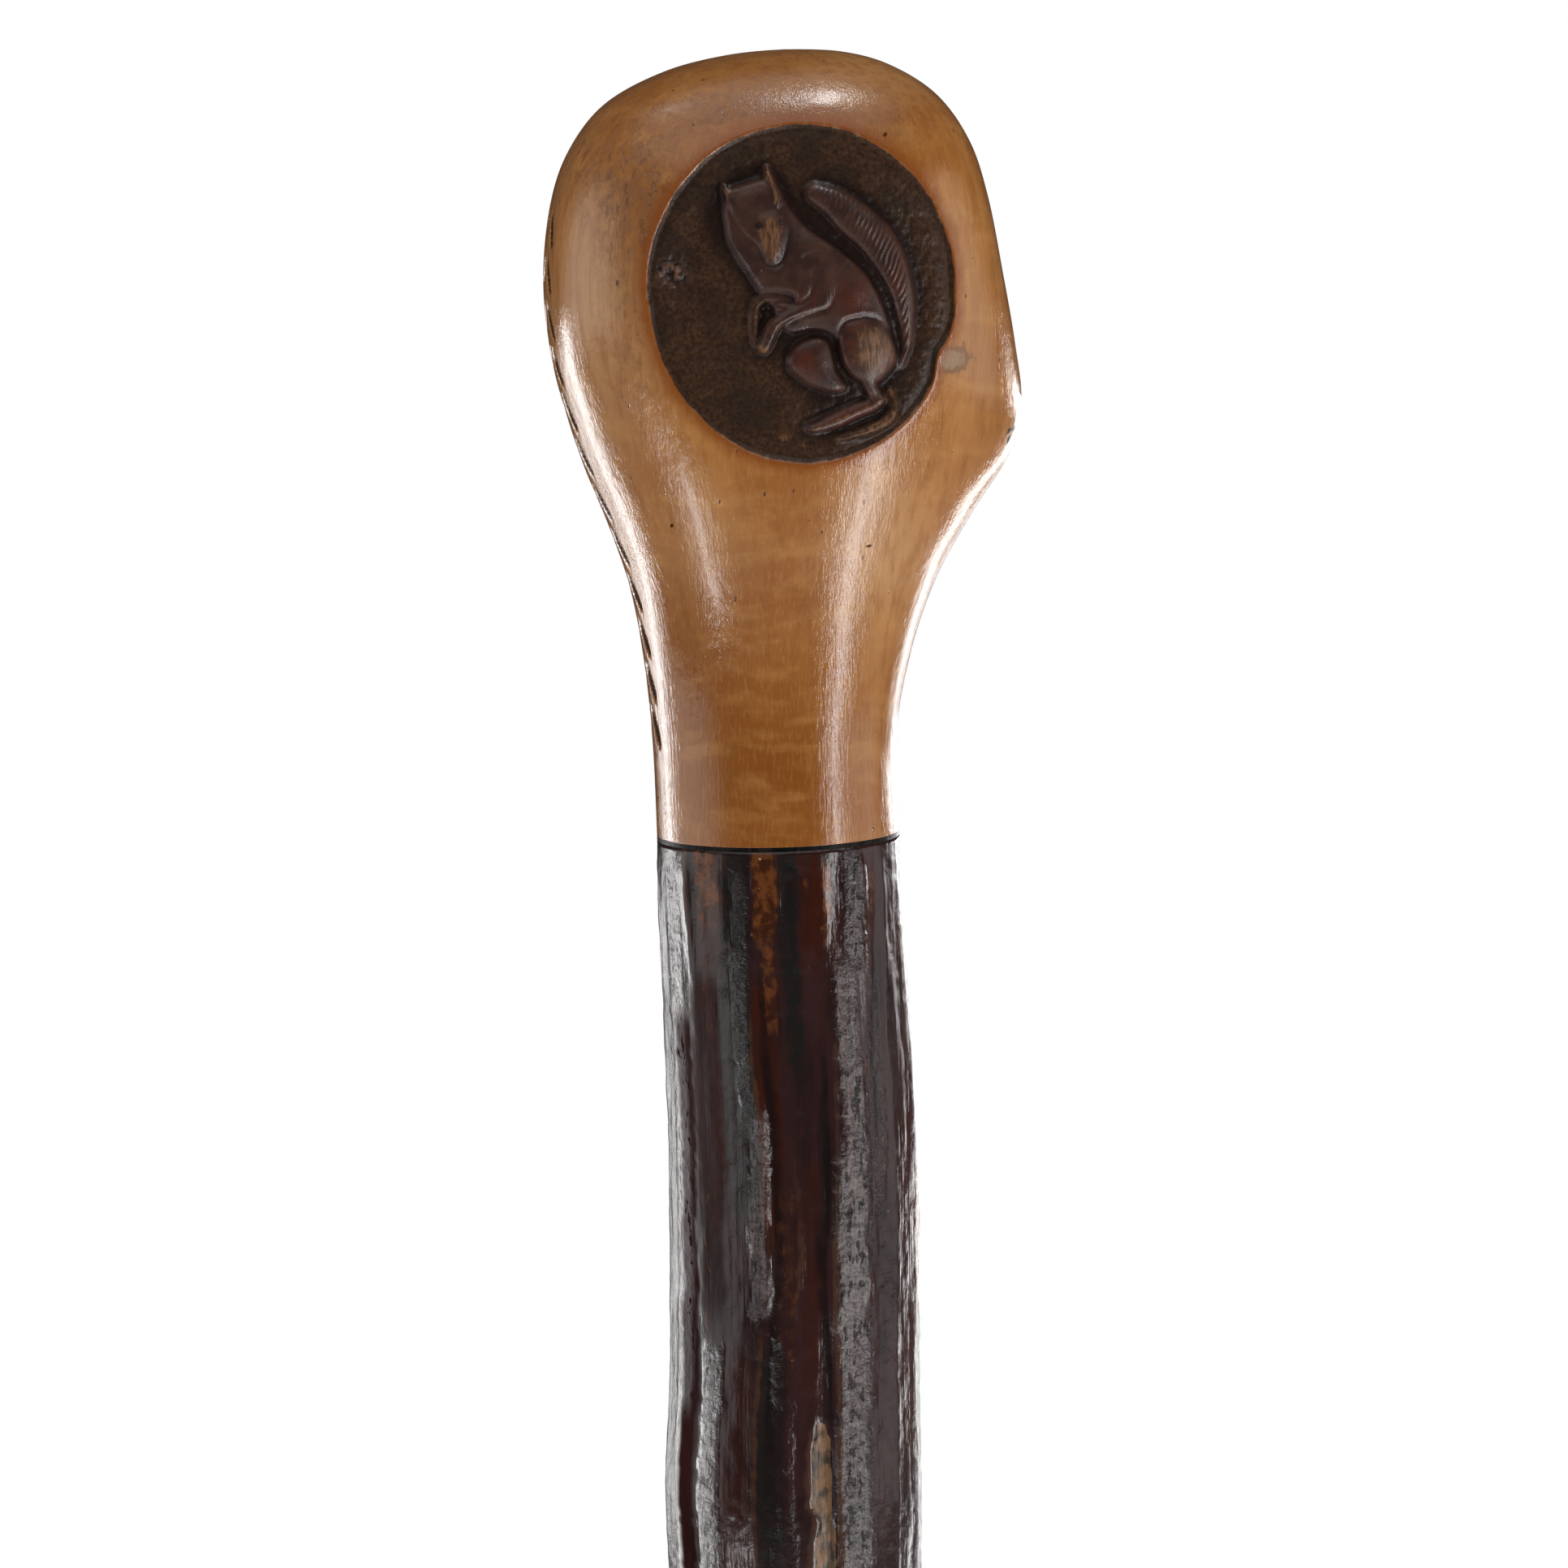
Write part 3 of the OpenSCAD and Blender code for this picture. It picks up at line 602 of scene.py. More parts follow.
# %% Helpers that turn points into pieces
def between(lower, upper):
    """Faces between two closed loops of points with equal counts."""
    n = len(lower)
    return [(lower[i], lower[(i + 1) % n], upper[(i + 1) % n], upper[i]) for i in range(n)]

def fan(ring, tip):
    return [(ring[i], ring[(i + 1) % len(ring)], tip) for i in range(len(ring))]

def closed_skin(rows, columns, tip, skip=None):
    """Faces of a skin of closed rows, with both ends closed on the points `tip` and
    `tip` + 1; skip is a block (row, row, column, column) left open."""
    faces = []
    for r in range(rows - 1):
        row = range(r * columns, (r + 1) * columns)
        quads = between(row, range(row.stop, row.stop + columns))
        if skip and skip[0] <= r < skip[1]:
            quads[skip[2]:skip[3]] = []
        faces += quads
    return faces + fan(range(columns), tip) + fan(range(row.stop, row.stop + columns), tip + 1)

def add_piece(name, points, faces, values=None):
    """A mesh object from points in mm, with its faces turned outward."""
    mesh = bpy.data.meshes.new(name)
    mesh.from_pydata((np.asarray(points) * MM).tolist(), [], faces)
    mesh.update()
    piece = place_object(name, mesh)
    mesh.shade_smooth()
    for key, value in (values or {}).items():
        mesh.attributes.new(key, "FLOAT", "POINT").data.foreach_set(
            "value", np.ascontiguousarray(value, np.float32))
    bpy.context.view_layer.objects.active = piece
    bpy.ops.object.mode_set(mode="EDIT")
    bpy.ops.mesh.select_all(action="SELECT")
    bpy.ops.mesh.normals_make_consistent(inside=False)
    bpy.ops.object.mode_set(mode="OBJECT")
    print(name, len(points), "points", len(faces), "faces")
    return piece

def finish_piece(piece, material, slot, *nodes):
    piece.data.materials.append(material)
    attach(piece, "root")
    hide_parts(*nodes)

# %% Rows and columns
def skin(angle, cut):
    """Points of the knob's skin in directions round a section."""
    z, back, nose, deep, square, taper, apex = np.moveaxis(cut, -1, 0)
    deep = np.maximum(deep, 1e-6)
    c, s = np.cos(angle), np.sin(angle)
    half = np.maximum(np.where(c < 0, apex - back, nose - apex), 1e-6)
    reach = (np.abs(c / half) ** square + np.abs(s / deep) ** square) ** (-1 / square)
    y = reach * s * (1 - taper * np.clip(reach * c / half, 0, None) ** 2)
    return np.stack([apex + reach * c, y, z + 0 * y], -1)

def run_of(steps):
    """The length so far at each point of a run, from the steps between them."""
    return np.concatenate([[0], np.cumsum(steps)])

def evenly(run, count):
    """`count` places that divide a run into equal steps."""
    return np.arange(count) * run[-1] / count

ROW_GAP, EDGE_GAP = .5, .05                 # a close second row makes the lower edge crisp
COLUMN_GAP, CARVED_GAP, LEAF_GAP = .9, .55, .33
LEAF_ARC, CARVED_REACH, WAIST = 19, 18.8, 7  # degrees, mm, a place along the stations
cuts = section(PLACES)
girth = (cuts[:, 2] - cuts[:, 1]) / 4 + cuts[:, 3] / 2
climb = run_of(np.hypot(np.diff(cuts[:, 0]), np.diff(girth)))
steps = np.insert(evenly(climb, int(climb[-1] / ROW_GAP)), 1, EDGE_GAP)
row_count = len(steps)
row_cuts = section(np.interp(steps, climb, PLACES))

turn = np.radians(np.linspace(90, 450, 7201))
waist = skin(turn, section(np.full(1, WAIST)))
carved = (np.abs(waist[:, 0] - CENTRE[0]) < CARVED_REACH) & (waist[:, 1] < 0)
leafy = np.abs(np.degrees(turn) - 180) < LEAF_ARC
spacing = np.where(carved, CARVED_GAP, np.where(leafy, LEAF_GAP, COLUMN_GAP))
paced = run_of(np.linalg.norm(np.diff(waist, axis=0), axis=1) / spacing[1:])
column_count = int(paced[-1])
columns = np.interp(evenly(paced, column_count), paced, turn)
body = skin(columns[None, :], row_cuts[:, None, :])
print("knob skin", row_count, "rows", column_count, "columns")

# %% Leaf cuts down the back: two gouge strokes each, parting downward
LEAF_PAIRS, LEAF_TOP, LEAF_PITCH = 12, 66, 4.9
LEAF_DEPTH, LEAF_HALF_WIDTH, LEAF_HALF_LENGTH = .45, .65, 2.35
LEAF_SLANT, LEAF_SPREAD = math.radians(32), 1.8

SIN, COS = math.sin(LEAF_SLANT), math.cos(LEAF_SLANT)
x, y, z = np.moveaxis(body, -1, 0)
cut_share = np.zeros(x.shape)
for i in range(LEAF_PAIRS):
    for side in (-1, 1):
        dy, dz = y - side * LEAF_SPREAD, z - LEAF_TOP + i * LEAF_PITCH
        a = (dy * side * SIN - dz * COS) / LEAF_HALF_LENGTH
        b = (dy * COS + dz * side * SIN) / LEAF_HALF_WIDTH
        cut_share = np.maximum(cut_share, np.clip(1 - a * a - b * b, 0, 1))
cut_share *= x < 0
body[..., 0] += LEAF_DEPTH * np.sqrt(cut_share)
print("leaf cuts touch", int((cut_share > 0).sum()), "points")

# %% Rings from the open block to the rim and down the wall
MARGIN, MID_HEIGHT = 1.3, 52                # mm from the rim to the open block's edge
RINGS = (.7, .5, .32, .2, .1, 0, -.12, -.26, -.42, -.6, -.78, -.92, -1.08)   # mm outside it
mid = body[np.argmin(np.abs(row_cuts[:, 0] - MID_HEIGHT))]
front = mid[:, 1] < 0
c0 = np.where(front & (mid[:, 0] < CENTRE[0] - HALF[0] - MARGIN))[0].max()
c1 = np.where(front & (mid[:, 0] > CENTRE[0] + HALF[0] + MARGIN))[0].min()
r0 = np.where(row_cuts[:, 0] < CENTRE[1] - HALF[1] - MARGIN)[0].max()
r1 = np.where(row_cuts[:, 0] > CENTRE[1] + HALF[1] + MARGIN)[0].min()
edge = ([(r0, c) for c in range(c0, c1)] + [(r, c1) for r in range(r0, r1)]
        + [(r1, c) for c in range(c1, c0, -1)] + [(r, c0) for r in range(r1, r0, -1)])
edge_xz = np.array([body[r, c][[0, 2]] for r, c in edge])
body[r0 + 1:r1, c0 + 1:c1] = body[r0, c0]   # points that no face needs wait at a corner
offset = (edge_xz - CENTRE) / HALF
bearing = np.unwrap(np.arctan2(offset[:, 1], offset[:, 0]))

def at_rim(out):
    """The places `out` mm outside the rim, one in the direction of each edge point."""
    share = rim_share((np.degrees(bearing) + 180) % 360 - 180) + out / MEAN_RADIUS
    return CENTRE + np.stack([HALF[0] * share * np.cos(bearing),
                              HALF[1] * share * np.sin(bearing)], 1)

rings = [at_rim(out) for out in RINGS]
rings[:0] = [edge_xz + (rings[0] - edge_xz) * f for f in (.3, .6, .85)]
flat = np.concatenate(rings)
print("nearest edge point", outside_rim(*edge_xz.T).min().round(2), "mm outside the rim")

# %% The carved ground as a square grid, and a seam of triangles round it
SEAM = 1.2                                  # mm from the rim to the grid
out = outside_rim(X + CENTRE[0], Z + CENTRE[1])
whole = out < -SEAM
cells = whole[:-1, :-1] & whole[1:, :-1] & whole[:-1, 1:] & whole[1:, 1:]
CORNERS = (0, 0), (1, 0), (1, 1), (0, 1)
used = np.zeros(X.shape, bool)
for i, j in CORNERS:
    used[i:i + cells.shape[0], j:j + cells.shape[1]] |= cells
number = np.full(X.shape, -1)
number[used] = (row_count + 2) * column_count + len(flat) + np.arange(used.sum())
ground_xz = np.stack([X[used] + CENTRE[0], Z[used] + CENTRE[1]], 1)
ci, cj = np.where(cells)
ground_faces = np.stack([number[ci + i, cj + j] for i, j in CORNERS], 1).tolist()

def border(faces):
    """The loop of points round a patch of faces, in the faces' own direction."""
    arcs = {(f[k], f[(k + 1) % 4]) for f in faces for k in range(4)}
    onward = {a: b for a, b in arcs if (b, a) not in arcs}
    loop = [min(onward)]
    while onward[loop[-1]] != loop[0]:
        loop.append(onward[loop[-1]])
    return loop

def sew(outer, outer_turn, inner, inner_turn):
    """Triangles between two loops with unlike counts, both running the same way round."""
    faces, i, j = [], 0, 0
    n, m = len(outer), len(inner)
    outer_turn, inner_turn = np.append(outer_turn, np.inf), np.append(inner_turn, np.inf)
    while i < n or j < m:
        a, b = outer[i % n], inner[j % m]
        if outer_turn[i] <= inner_turn[j]:
            faces.append((a, outer[(i + 1) % n], b))
            i += 1
        else:
            faces.append((a, inner[(j + 1) % m], b))
            j += 1
    return faces

# %% Put the handle together
BORE_RADIUS, BORE_TOP = 4.15, 32
bore = [[(BORE_RADIUS * math.cos(a), BORE_RADIUS * math.sin(a), z) for a in columns]
        for z in (BORE_TOP, 0)]

def on_face(xz):
    return np.stack([xz[:, 0], carved_face(*xz.T) + sunk(*xz.T), xz[:, 1]], 1)

def half_turn(angles):
    """Angles brought to within half a turn of 0."""
    return (angles + np.pi) % (2 * np.pi) - np.pi

points = np.concatenate([np.reshape(bore, (-1, 3)), body.reshape(-1, 3), on_face(flat),
                         on_face(ground_xz), [[0, 0, BORE_TOP]],
                         [[STATIONS[LAST, 1], 0, STATIONS[LAST, 0]]]])
rows = row_count + 2
faces = closed_skin(rows, column_count, len(points) - 2, (r0 + 2, r1 + 2, c0, c1))
ring_first, n = rows * column_count, len(edge)
loop = [(r + 2) * column_count + c for r, c in edge]
for k in range(len(rings)):
    below = range(ring_first + k * n, ring_first + (k + 1) * n)
    faces += between(loop, below)
    loop = below
inner = border(ground_faces)
where = (points[inner][:, [0, 2]] - CENTRE) / HALF
inner_turn = np.arctan2(where[:, 1], where[:, 0])
if half_turn(np.diff(inner_turn)).sum() < 0:
    inner, inner_turn = inner[::-1], inner_turn[::-1]
start = int(np.argmin(np.abs(half_turn(inner_turn - bearing[0]))))
inner_turn = np.unwrap(np.roll(inner_turn, -start))
inner_turn += 2 * np.pi * round((bearing[0] - inner_turn[0]) / (2 * np.pi))
faces += sew(loop, bearing, inner[start:] + inner[:start], inner_turn) + ground_faces
stretch = (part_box("handle")[1].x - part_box("handle")[0].x) / MM / np.ptp(points[:, 0])
print("width of the mesh against the CAD:", round(1 / stretch, 4))

# %% What the handle's finish needs to know at each point
# Marks are soft ovals on the face: [x, z, half width, half height, strength].
MARKS = {
    "amber": [[-1, 8, 12, 17, .9], [-9, 22, 4, 10, .3], [-12, 66, 4, 9, .6],
              [.8, 78.5, 9, 2.4, .9]],
    # These lighter marks are painted light: sheen and side light on the wood beside the roundel,
    # low on the neck and on the crown.
    "painted_light": [[10, 32, 6, 11, 1], [22, 52, 5, 14, .3], [7, 12, 4, 12, .5],
             [-19, 56, 5, 14, .8], [10, 81, 8, 3, .5], [-8, 30, 4, 8, .3]],
    "scuff": [[-14, 68, 6, 8, 1], [-16, 54, 3, 8, .5], [-4, 79, 9, 3, .7],
              [12, 77, 5, 3, .5], [-18, 74, 5, 5, .6]],
    "flaw": [[26.9, 43.9, .3, .6, 1], [26.3, 43.1, .6, .25, 1], [25.5, 42.2, .3, .9, 1],
             [8.6, 32.2, .5, .2, 1], [-12.2, 34.8, .25, .25, 1], [-8, 16.2, .3, .3, .6],
             [9.6, 11.4, .2, .2, .8], [11.5, 75.8, .3, .3, .7]],
    "knot": [[18, 51.6, 2.2, 1.3, 1]]}
x, y, z = points.T
front = y < 0
out = np.where(front, outside_rim(x, z), 12)
values = {"rim_out": np.clip(out, -2, 12), "cut": np.zeros(len(points))}
values["cut"][2 * column_count:ring_first] = cut_share.ravel()
for key, field in SHEETS.items():
    values[key] = on_sheet(field, x, z) * smooth(-out, .5, 1) * front
for key, table in MARKS.items():
    total = sum(s * np.exp(-((x - a) / w) ** 2 - ((z - b) / h) ** 2) for a, b, w, h, s in table)
    values[key] = np.clip(total * front, 0, 1)
points[:, 0] *= stretch
points[:, 2] += joint_z
handle = add_piece("handle_knob", points, faces, values)

# %% [markdown]
# ## The stick
#
# The stick is a young blackthorn stem, scraped, stained and varnished with its bark on. The
# bark runs in long flat-sided ridges. They are a ring of knots whose places and heights drift
# down the stick, with straight facets between them, because it is the facets that catch the
# lamps in long streaks. Finer ribs and wrinkles lie over that.

# %% Middle line and swellings, as in the CAD
SHOOTS = [[72, 200, .8], [146, 330, 1.2], [228, 95, 1.3], [304, 215, 1.1], [392, 20, 1.2],
          [470, 140, 1], [566, 280, 1.1], [650, 60, .8]]
SHOOT_REACH, BOW, LEAVE, TRIMMED_END = 9, 3, 65, 3
BEND_LENGTH, BEND_REACH = 72, .35
TOP_D, FOOT_D = 26.2, 19.6
stick_length = stick_top_z - shoulder_z

def middle_line(f):
    above, below = stick_length * f, stick_length * (1 - f)
    off_axis = np.clip(above / LEAVE, 0, 1) * np.clip((below - BEND_LENGTH) / LEAVE, 0, 1)
    bend = BEND_REACH * (1 - np.cos(2 * np.pi * below / BEND_LENGTH)) * (below < BEND_LENGTH)
    long_x, short_x, long_y, short_y = (
        np.sin(np.radians(turns * f + start))
        for turns, start in ((250, 20), (900, 0), (200, -60), (760, 40)))
    return (bend + off_axis * BOW * (.7 * long_x + .25 * short_x),
            off_axis * BOW * (.6 * long_y + .2 * short_y))

# %% Ridges
# Each seen one is (degrees right of the camera, height in mm) at four depths below the joint.
STICK_COLUMNS = 225
DEPTHS = [5, 22, 44, 62]
SEEN = [[-84, .1, -84, .4, -84, .5, -85, .5], [-71, -.1, -67, .12, -70, .1, -70, .12],
        [-57, -.05, -58, .05, -57, 0, -58, .05], [-48.6, .38, -48, .05, -48, 0, -50.4, -.25],
        [-46, 0, -43, -.1, -43, -.15, -43, 0], [-31, -.1, -32, -.2, -34, -.2, -35.5, .1],
        [-29, -.03, -26.5, .1, -21, .15, -30, 0], [-15, -.02, -17.9, .3, -11.7, .35, -18.9, .1],
        [-13, .1, -14, -.1, -9, -.15, -14, -.25], [-1.5, .1, -4.8, -.1, 3.1, -.1, -3.9, .05],
        [1, -.15, 3.9, -.2, 6, -.2, 0, -.1], [8.7, -.2, 12, -.3, 12, -.3, 8.2, -.1],
        [19.3, 0, 18, -.25, 15.5, -.25, 18.5, -.25], [29, -.15, 22, .15, 18, .28, 20.2, .2],
        [35, .1, 29, .12, 27, .3, 30, .15], [43.5, .32, 37.2, .3, 38.4, .25, 39.9, .25],
        [51, -.1, 46, -.1, 46, -.1, 47, -.05], [58, .05, 55, .1, 57, .1, 56, .15],
        [67, 0, 63, .05, 62, 0, 66, .1], [75, .05, 78, .4, 79, .42, 76, .4],
        [84, 0, 86, .3, 87, .5, 85, .6]]
rng = np.random.default_rng(21)
hidden_places = np.sort(rng.uniform(90, 270, 19))
HIDDEN = [[a, (.34 if k % 2 else -.34) * rng.uniform(.3, 1)] * 4
          for k, a in enumerate(hidden_places)]
ridges = np.reshape(SEEN + HIDDEN, (-1, 4, 2))
below = np.concatenate([np.arange(0, 90, .45), np.arange(90, stick_length - .5, 3),
                        [stick_length - .5, stick_length]])
angle = np.arange(STICK_COLUMNS) * 360 / STICK_COLUMNS      # direction, 0 along +X
seen_from = (angle + 90 - FACE_AZIMUTH + 180) % 360 - 180   # degrees right of the camera
B, A = np.meshgrid(below, angle, indexing="ij")
facets = np.empty(B.shape)
k = np.arange(len(ridges))
for i, b in enumerate(below):
    at, tall = (np.array([np.interp(b, DEPTHS, knot) for knot in ridges[..., c]]) for c in (0, 1))
    further = smooth(b, 80, 110)
    at += (1 + 2 * further) * hills(at / 60, b / 26, 5) + .8 * hills(at / 25, b / 7, 6)
    tall = tall * (1 + .45 * further * hills(k * 5.7, b / 33, 7)) + .07 * (
        1 + further) * hills(k * 9.1, b / 9, 8)
    ends, u = np.append(at, at[0] + 360), (seen_from - at[0]) % 360 + at[0]
    j = np.clip(np.searchsorted(ends, u, "right") - 1, 0, len(at) - 1)
    sag = 6.5 * np.radians(u - ends[j]) * np.radians(ends[j + 1] - u)     # makes facets flat
    facets[i] = (np.interp(seen_from, at, tall, period=360) - np.minimum(sag, .3)
                 + .2 * smooth(b, 12, 40) * (1 - smooth(b, 90, 150)))

def ribs(around, length, seed):
    return hills(A / 360 * around, B / length, seed, around)

swelling = sum(s * np.exp(-((B - b) / SHOOT_REACH) ** 2)
               * (.35 + .65 * np.exp(-2.2 * (1 - np.cos(np.radians(A - a)))))
               for b, a, s in SHOOTS)
near_top = 1 - smooth(B, 80, 92)
bark = (facets + .05 * ribs(48, 16, 31) + .04 * ribs(90, 9, 32) + .05 * ribs(24, 30, 33)
        + near_top * (.03 * ribs(120, .9, 34) + .03 * ribs(72, 1.8, 35)))

# %% Chips, nicks and trimmed shoots
def patch(left, right, top, foot, ragged=1, seed=41):
    """1 over a ragged patch, in degrees right of the camera and mm below the joint."""
    a = seen_from + (2.2 * ragged * hills(B / 2.6, B * 0, seed)
                     + 1.2 * ragged * hills(B / .9, B * 0, seed + 1))
    return (smooth(a, left, left + 1.5) * (1 - smooth(a, right - 1.5, right))
            * smooth(B, top, top + 1.5) * (1 - smooth(B, foot - 2, foot)))

waist = 2.5 * np.exp(-((B - 73) / 1.2) ** 2) + 3 * (1 - smooth(B, 62.5, 65.5))
chips = np.clip(patch(8.2 + waist, 19 - .6 * waist, 61.5, 90, .6) + patch(83, 92, 44, 52, 1, 51)
                + patch(-62, -54, 118, 131, 1, 55) + patch(140, 152, 66, 84, 1, 57)
                + patch(-140, -131, 240, 262, 1, 59), 0, 1)
nicks = patch(-23, -10, 49.5, 52, .3, 43) + patch(112, 136, 50, 52, .3, 49)
scar = sum(smooth(1.25 - np.hypot((B - b) / 3.6, ((A - a + 180) % 360 - 180) / 16)
                  + .2 * hills(A / 7, B / 1.5, 66, 52), 0, .5) for b, a, s in SHOOTS[1:])
bark = bark * (1 - .8 * scar) - .38 * chips - .25 * np.clip(nicks, 0, 1)
depth_of_bark = np.clip(bark + swelling * (1 - .35 * scar), -.95, 1.1 + swelling)
trim = np.minimum(1, np.minimum(B / TRIMMED_END, (stick_length - B) / TRIMMED_END))
f = 1 - B / stick_length
radius = (FOOT_D + (TOP_D - FOOT_D) * f ** .8) / 2 + trim * depth_of_bark
shift_x, shift_y = middle_line(f)
stem = np.stack([shift_x + radius * np.cos(np.radians(A)),
                 shift_y + radius * np.sin(np.radians(A)), stick_top_z - B], -1)

# %% Close the stick: bore, sawn top, tenon
def ring_at(radius, z):
    return [[(radius * math.cos(math.radians(a)), radius * math.sin(math.radians(a)), z)
             for a in angle]]

BORE_BOTTOM = stick_top_z - 36
TENON_RADIUS, TENON_FOOT = 8.55, 5.5
rows = np.concatenate([ring_at(BORE_RADIUS, BORE_BOTTOM), ring_at(BORE_RADIUS, stick_top_z), stem,
                       ring_at(TENON_RADIUS, shoulder_z), ring_at(TENON_RADIUS, TENON_FOOT)])
points = np.concatenate([rows.reshape(-1, 3), [[0, 0, BORE_BOTTOM], [0, 0, TENON_FOOT]]])
faces = closed_skin(len(rows), STICK_COLUMNS, len(points) - 2)

# %% What the bark's finish needs to know
# Strips are [degrees right of the camera, top, foot in mm below the joint, half width, share].
STRIPS = {
    "warm": [[-38.5, 0, 8, 7.7, 1], [-41, 8, 24, 4, .35], [-8.2, 0, 9.5, 6.7, 1],
             [-7, 9.5, 20, 4, .6], [22, 1.5, 9.5, 2.7, 1.3], [11.7, 3, 5, 1.5, .8],
             [47.5, 2, 8, 2.5, .6], [-4, 36, 60, 6, .35], [-45.7, 36, 56, 1.2, .45],
             [84, 12, 20, 6, .5], [82, 36, 52, 7, .9], [-100, 0, 12, 9, .8],
             [130, 0, 9, 10, .9], [165, 2, 18, 5, .7], [-150, 0, 8, 8, .8]],
    "red": [[-11.5, 14, 42, 6.5, 1], [-38, 8, 42, 5.5, .5], [14, 0, 12, 6, 1],
            [27, 0, 40, 3, .7], [47, 0, 12, 6, .6], [72, 0, 70, 12, .6], [-28, 55, 90, 8, .5],
            [8, 34, 60, 6, .5], [-65, 0, 90, 10, .3], [110, 10, 60, 12, .6],
            [-120, 8, 70, 9, .6], [150, 20, 90, 8, .6], [200, 0, 60, 9, .7]],
    "green": [[-23, 0, 40, 7.5, 1], [3.6, 0, 24, 5, 1], [-11, 55, 90, 7.5, .9],
              [-31, 14, 36, 4.5, .7], [96, 0, 60, 6, .8], [-85, 20, 80, 6, .6],
              [180, 0, 80, 7, .8]],
    # The sheen bands are where the bark catches the lamps; the finish paints a whitish sheen on
    # them and makes their varnish bumpier and glossier.
    "sheen_band": [[-64, 0, 60, 9, .3], [36.5, 0, 14, 7, .8], [29.5, 12, 34, 7.5, .9],
              [28.5, 32, 56, 10, 1], [30, 54, 90, 10, .9], [-22, 10, 30, 4.5, .6],
              [-16.5, 28, 50, 5, 1], [-43, 54, 90, 7.5, .9], [-20, 2, 16, 5, .25],
              [44, 14, 40, 6, .4], [-9, 52, 60, 3, .5], [-1, 60, 90, 2, .4],
              [80, 66, 90, 8, .8], [105, 0, 50, 6, .7], [-130, 20, 90, 8, .8],
              [160, 30, 90, 8, .8]],
    "dull": [[-59, 18, 90, 8, 1], [-44, 14, 51, 10, .7]]}
CHANCE_SIZES = (30, 24, 26, 22, 20)         # how many lie round the stick, for each kind
a = seen_from + (1.1 * hills(B / 3, B * 0, 61) + .8 * hills(B / .8, B * 0, 62))
below_photo = smooth(B, 84, 110)            # further down the same strips come and go by chance
strips = {}
for n, (kind, size) in enumerate(zip(STRIPS, CHANCE_SIZES)):
    total = np.zeros(B.shape)
    for place, top, foot, half, share in STRIPS[kind]:
        aside = np.abs((a - place + 180) % 360 - 180)
        total = np.maximum(total, share * (1 - smooth(aside, .6 * half, 1.1 * half)) * smooth(
            B, top - 1.5, top + 1.5) * (1 - smooth(B, foot - 3, foot + 3)))
    chance = smooth(hills(A / 360 * size, B / 45, 80 + n, size), .25, .6)
    strips[kind] = total * (1 - below_photo) + .7 * chance * below_photo
strips["warm"] *= 1 - .6 * below_photo
around = np.fft.rfft(depth_of_bark, axis=1)
around[:, 14:] = 0
hollow = np.clip((np.fft.irfft(around, STICK_COLUMNS, axis=1) - depth_of_bark) / .2, -1, 1)
added = np.zeros((2, STICK_COLUMNS))        # the rows of the bore and the tenon carry nothing
stick = add_piece("stick_bark", points, faces, {
    kind: np.append(np.concatenate([added, field, added]), [0, 0])
    for kind, field in {"bare": chips, "hollow": hollow, "scar": np.clip(scar, 0, 1),
                        **strips}.items()})

# %% [markdown]
# ## Ferrule and tip
#
# The brass sleeve and the steel plug are lathe shapes: a profile that is swept round. The
# sleeve has a rolled lip, two turned lines and small dents from years of stones. The nails,
# the washer and the stud keep their CAD shapes.

# %% Lathe
LATHE_COLUMNS = 120

def lathe(name, profile, dents, closed):
    """A turned piece from [radius, height] points in mm; a closed profile makes a tube."""
    turn = np.arange(LATHE_COLUMNS) * 2 * np.pi / LATHE_COLUMNS
    r, z = np.array(profile).T
    T, R = np.meshgrid(turn, r, indexing="ij")
    dent = dents * np.clip(hills(T * 14 / (2 * np.pi), z / 3.1, 71, 14) - .35, 0, 1)
    R = (R - dent * (R > .5)).T
    points = np.stack([R * np.cos(turn), R * np.sin(turn), np.repeat(z[:, None], len(turn), 1)],
                      -1).reshape(-1, 3)
    count = len(points)
    faces = closed_skin(len(r), len(turn), count)
    if closed:
        faces[-2 * len(turn):] = between(range(count - len(turn), count), range(len(turn)))
    else:
        points = np.concatenate([points, [[0, 0, z[0]], [0, 0, z[-1]]]])
    return add_piece(name, points, faces)

outside = [[9, 1.5], [9.3, 1.6], [9.45, 1.85], [9.5, 2.2]]
outside += [[9.5 - .14 * math.exp(-((z - 29.2) / .28) ** 2)
             - .14 * math.exp(-((z - 28 + 3.9) / .28) ** 2), z]
            for z in np.arange(2.6, 31.9, .22)]
outside += [[9.42, 32.1], [9.36, 32.4], [9.4, 32.7], [9.5, 32.95], [9.5, 33.2], [9.4, 33.42],
            [9.2, shoulder_z], [8.6, shoulder_z], [8.6, 20], [8.6, 1.5]]
sleeve = lathe("ferrule_sleeve", outside, .09, True)
plug = lathe("ferrule_plug", [[7, .06], [7.6, 0], [8.1, .08], [8.4, .3], [8.56, .7],
                              [8.58, 1.2], [8.58, 5.5]], .03, False)

# %% [markdown]
# ## Effects that several finishes share
#
# Fibres, patches, specks and scratches turn up in wood, bark and metal alike. Each is a node
# group with sizes in mm, built once, and every finish places it with its own values. They
# read the piece's own coordinates, so the patterns stay on it from every side.

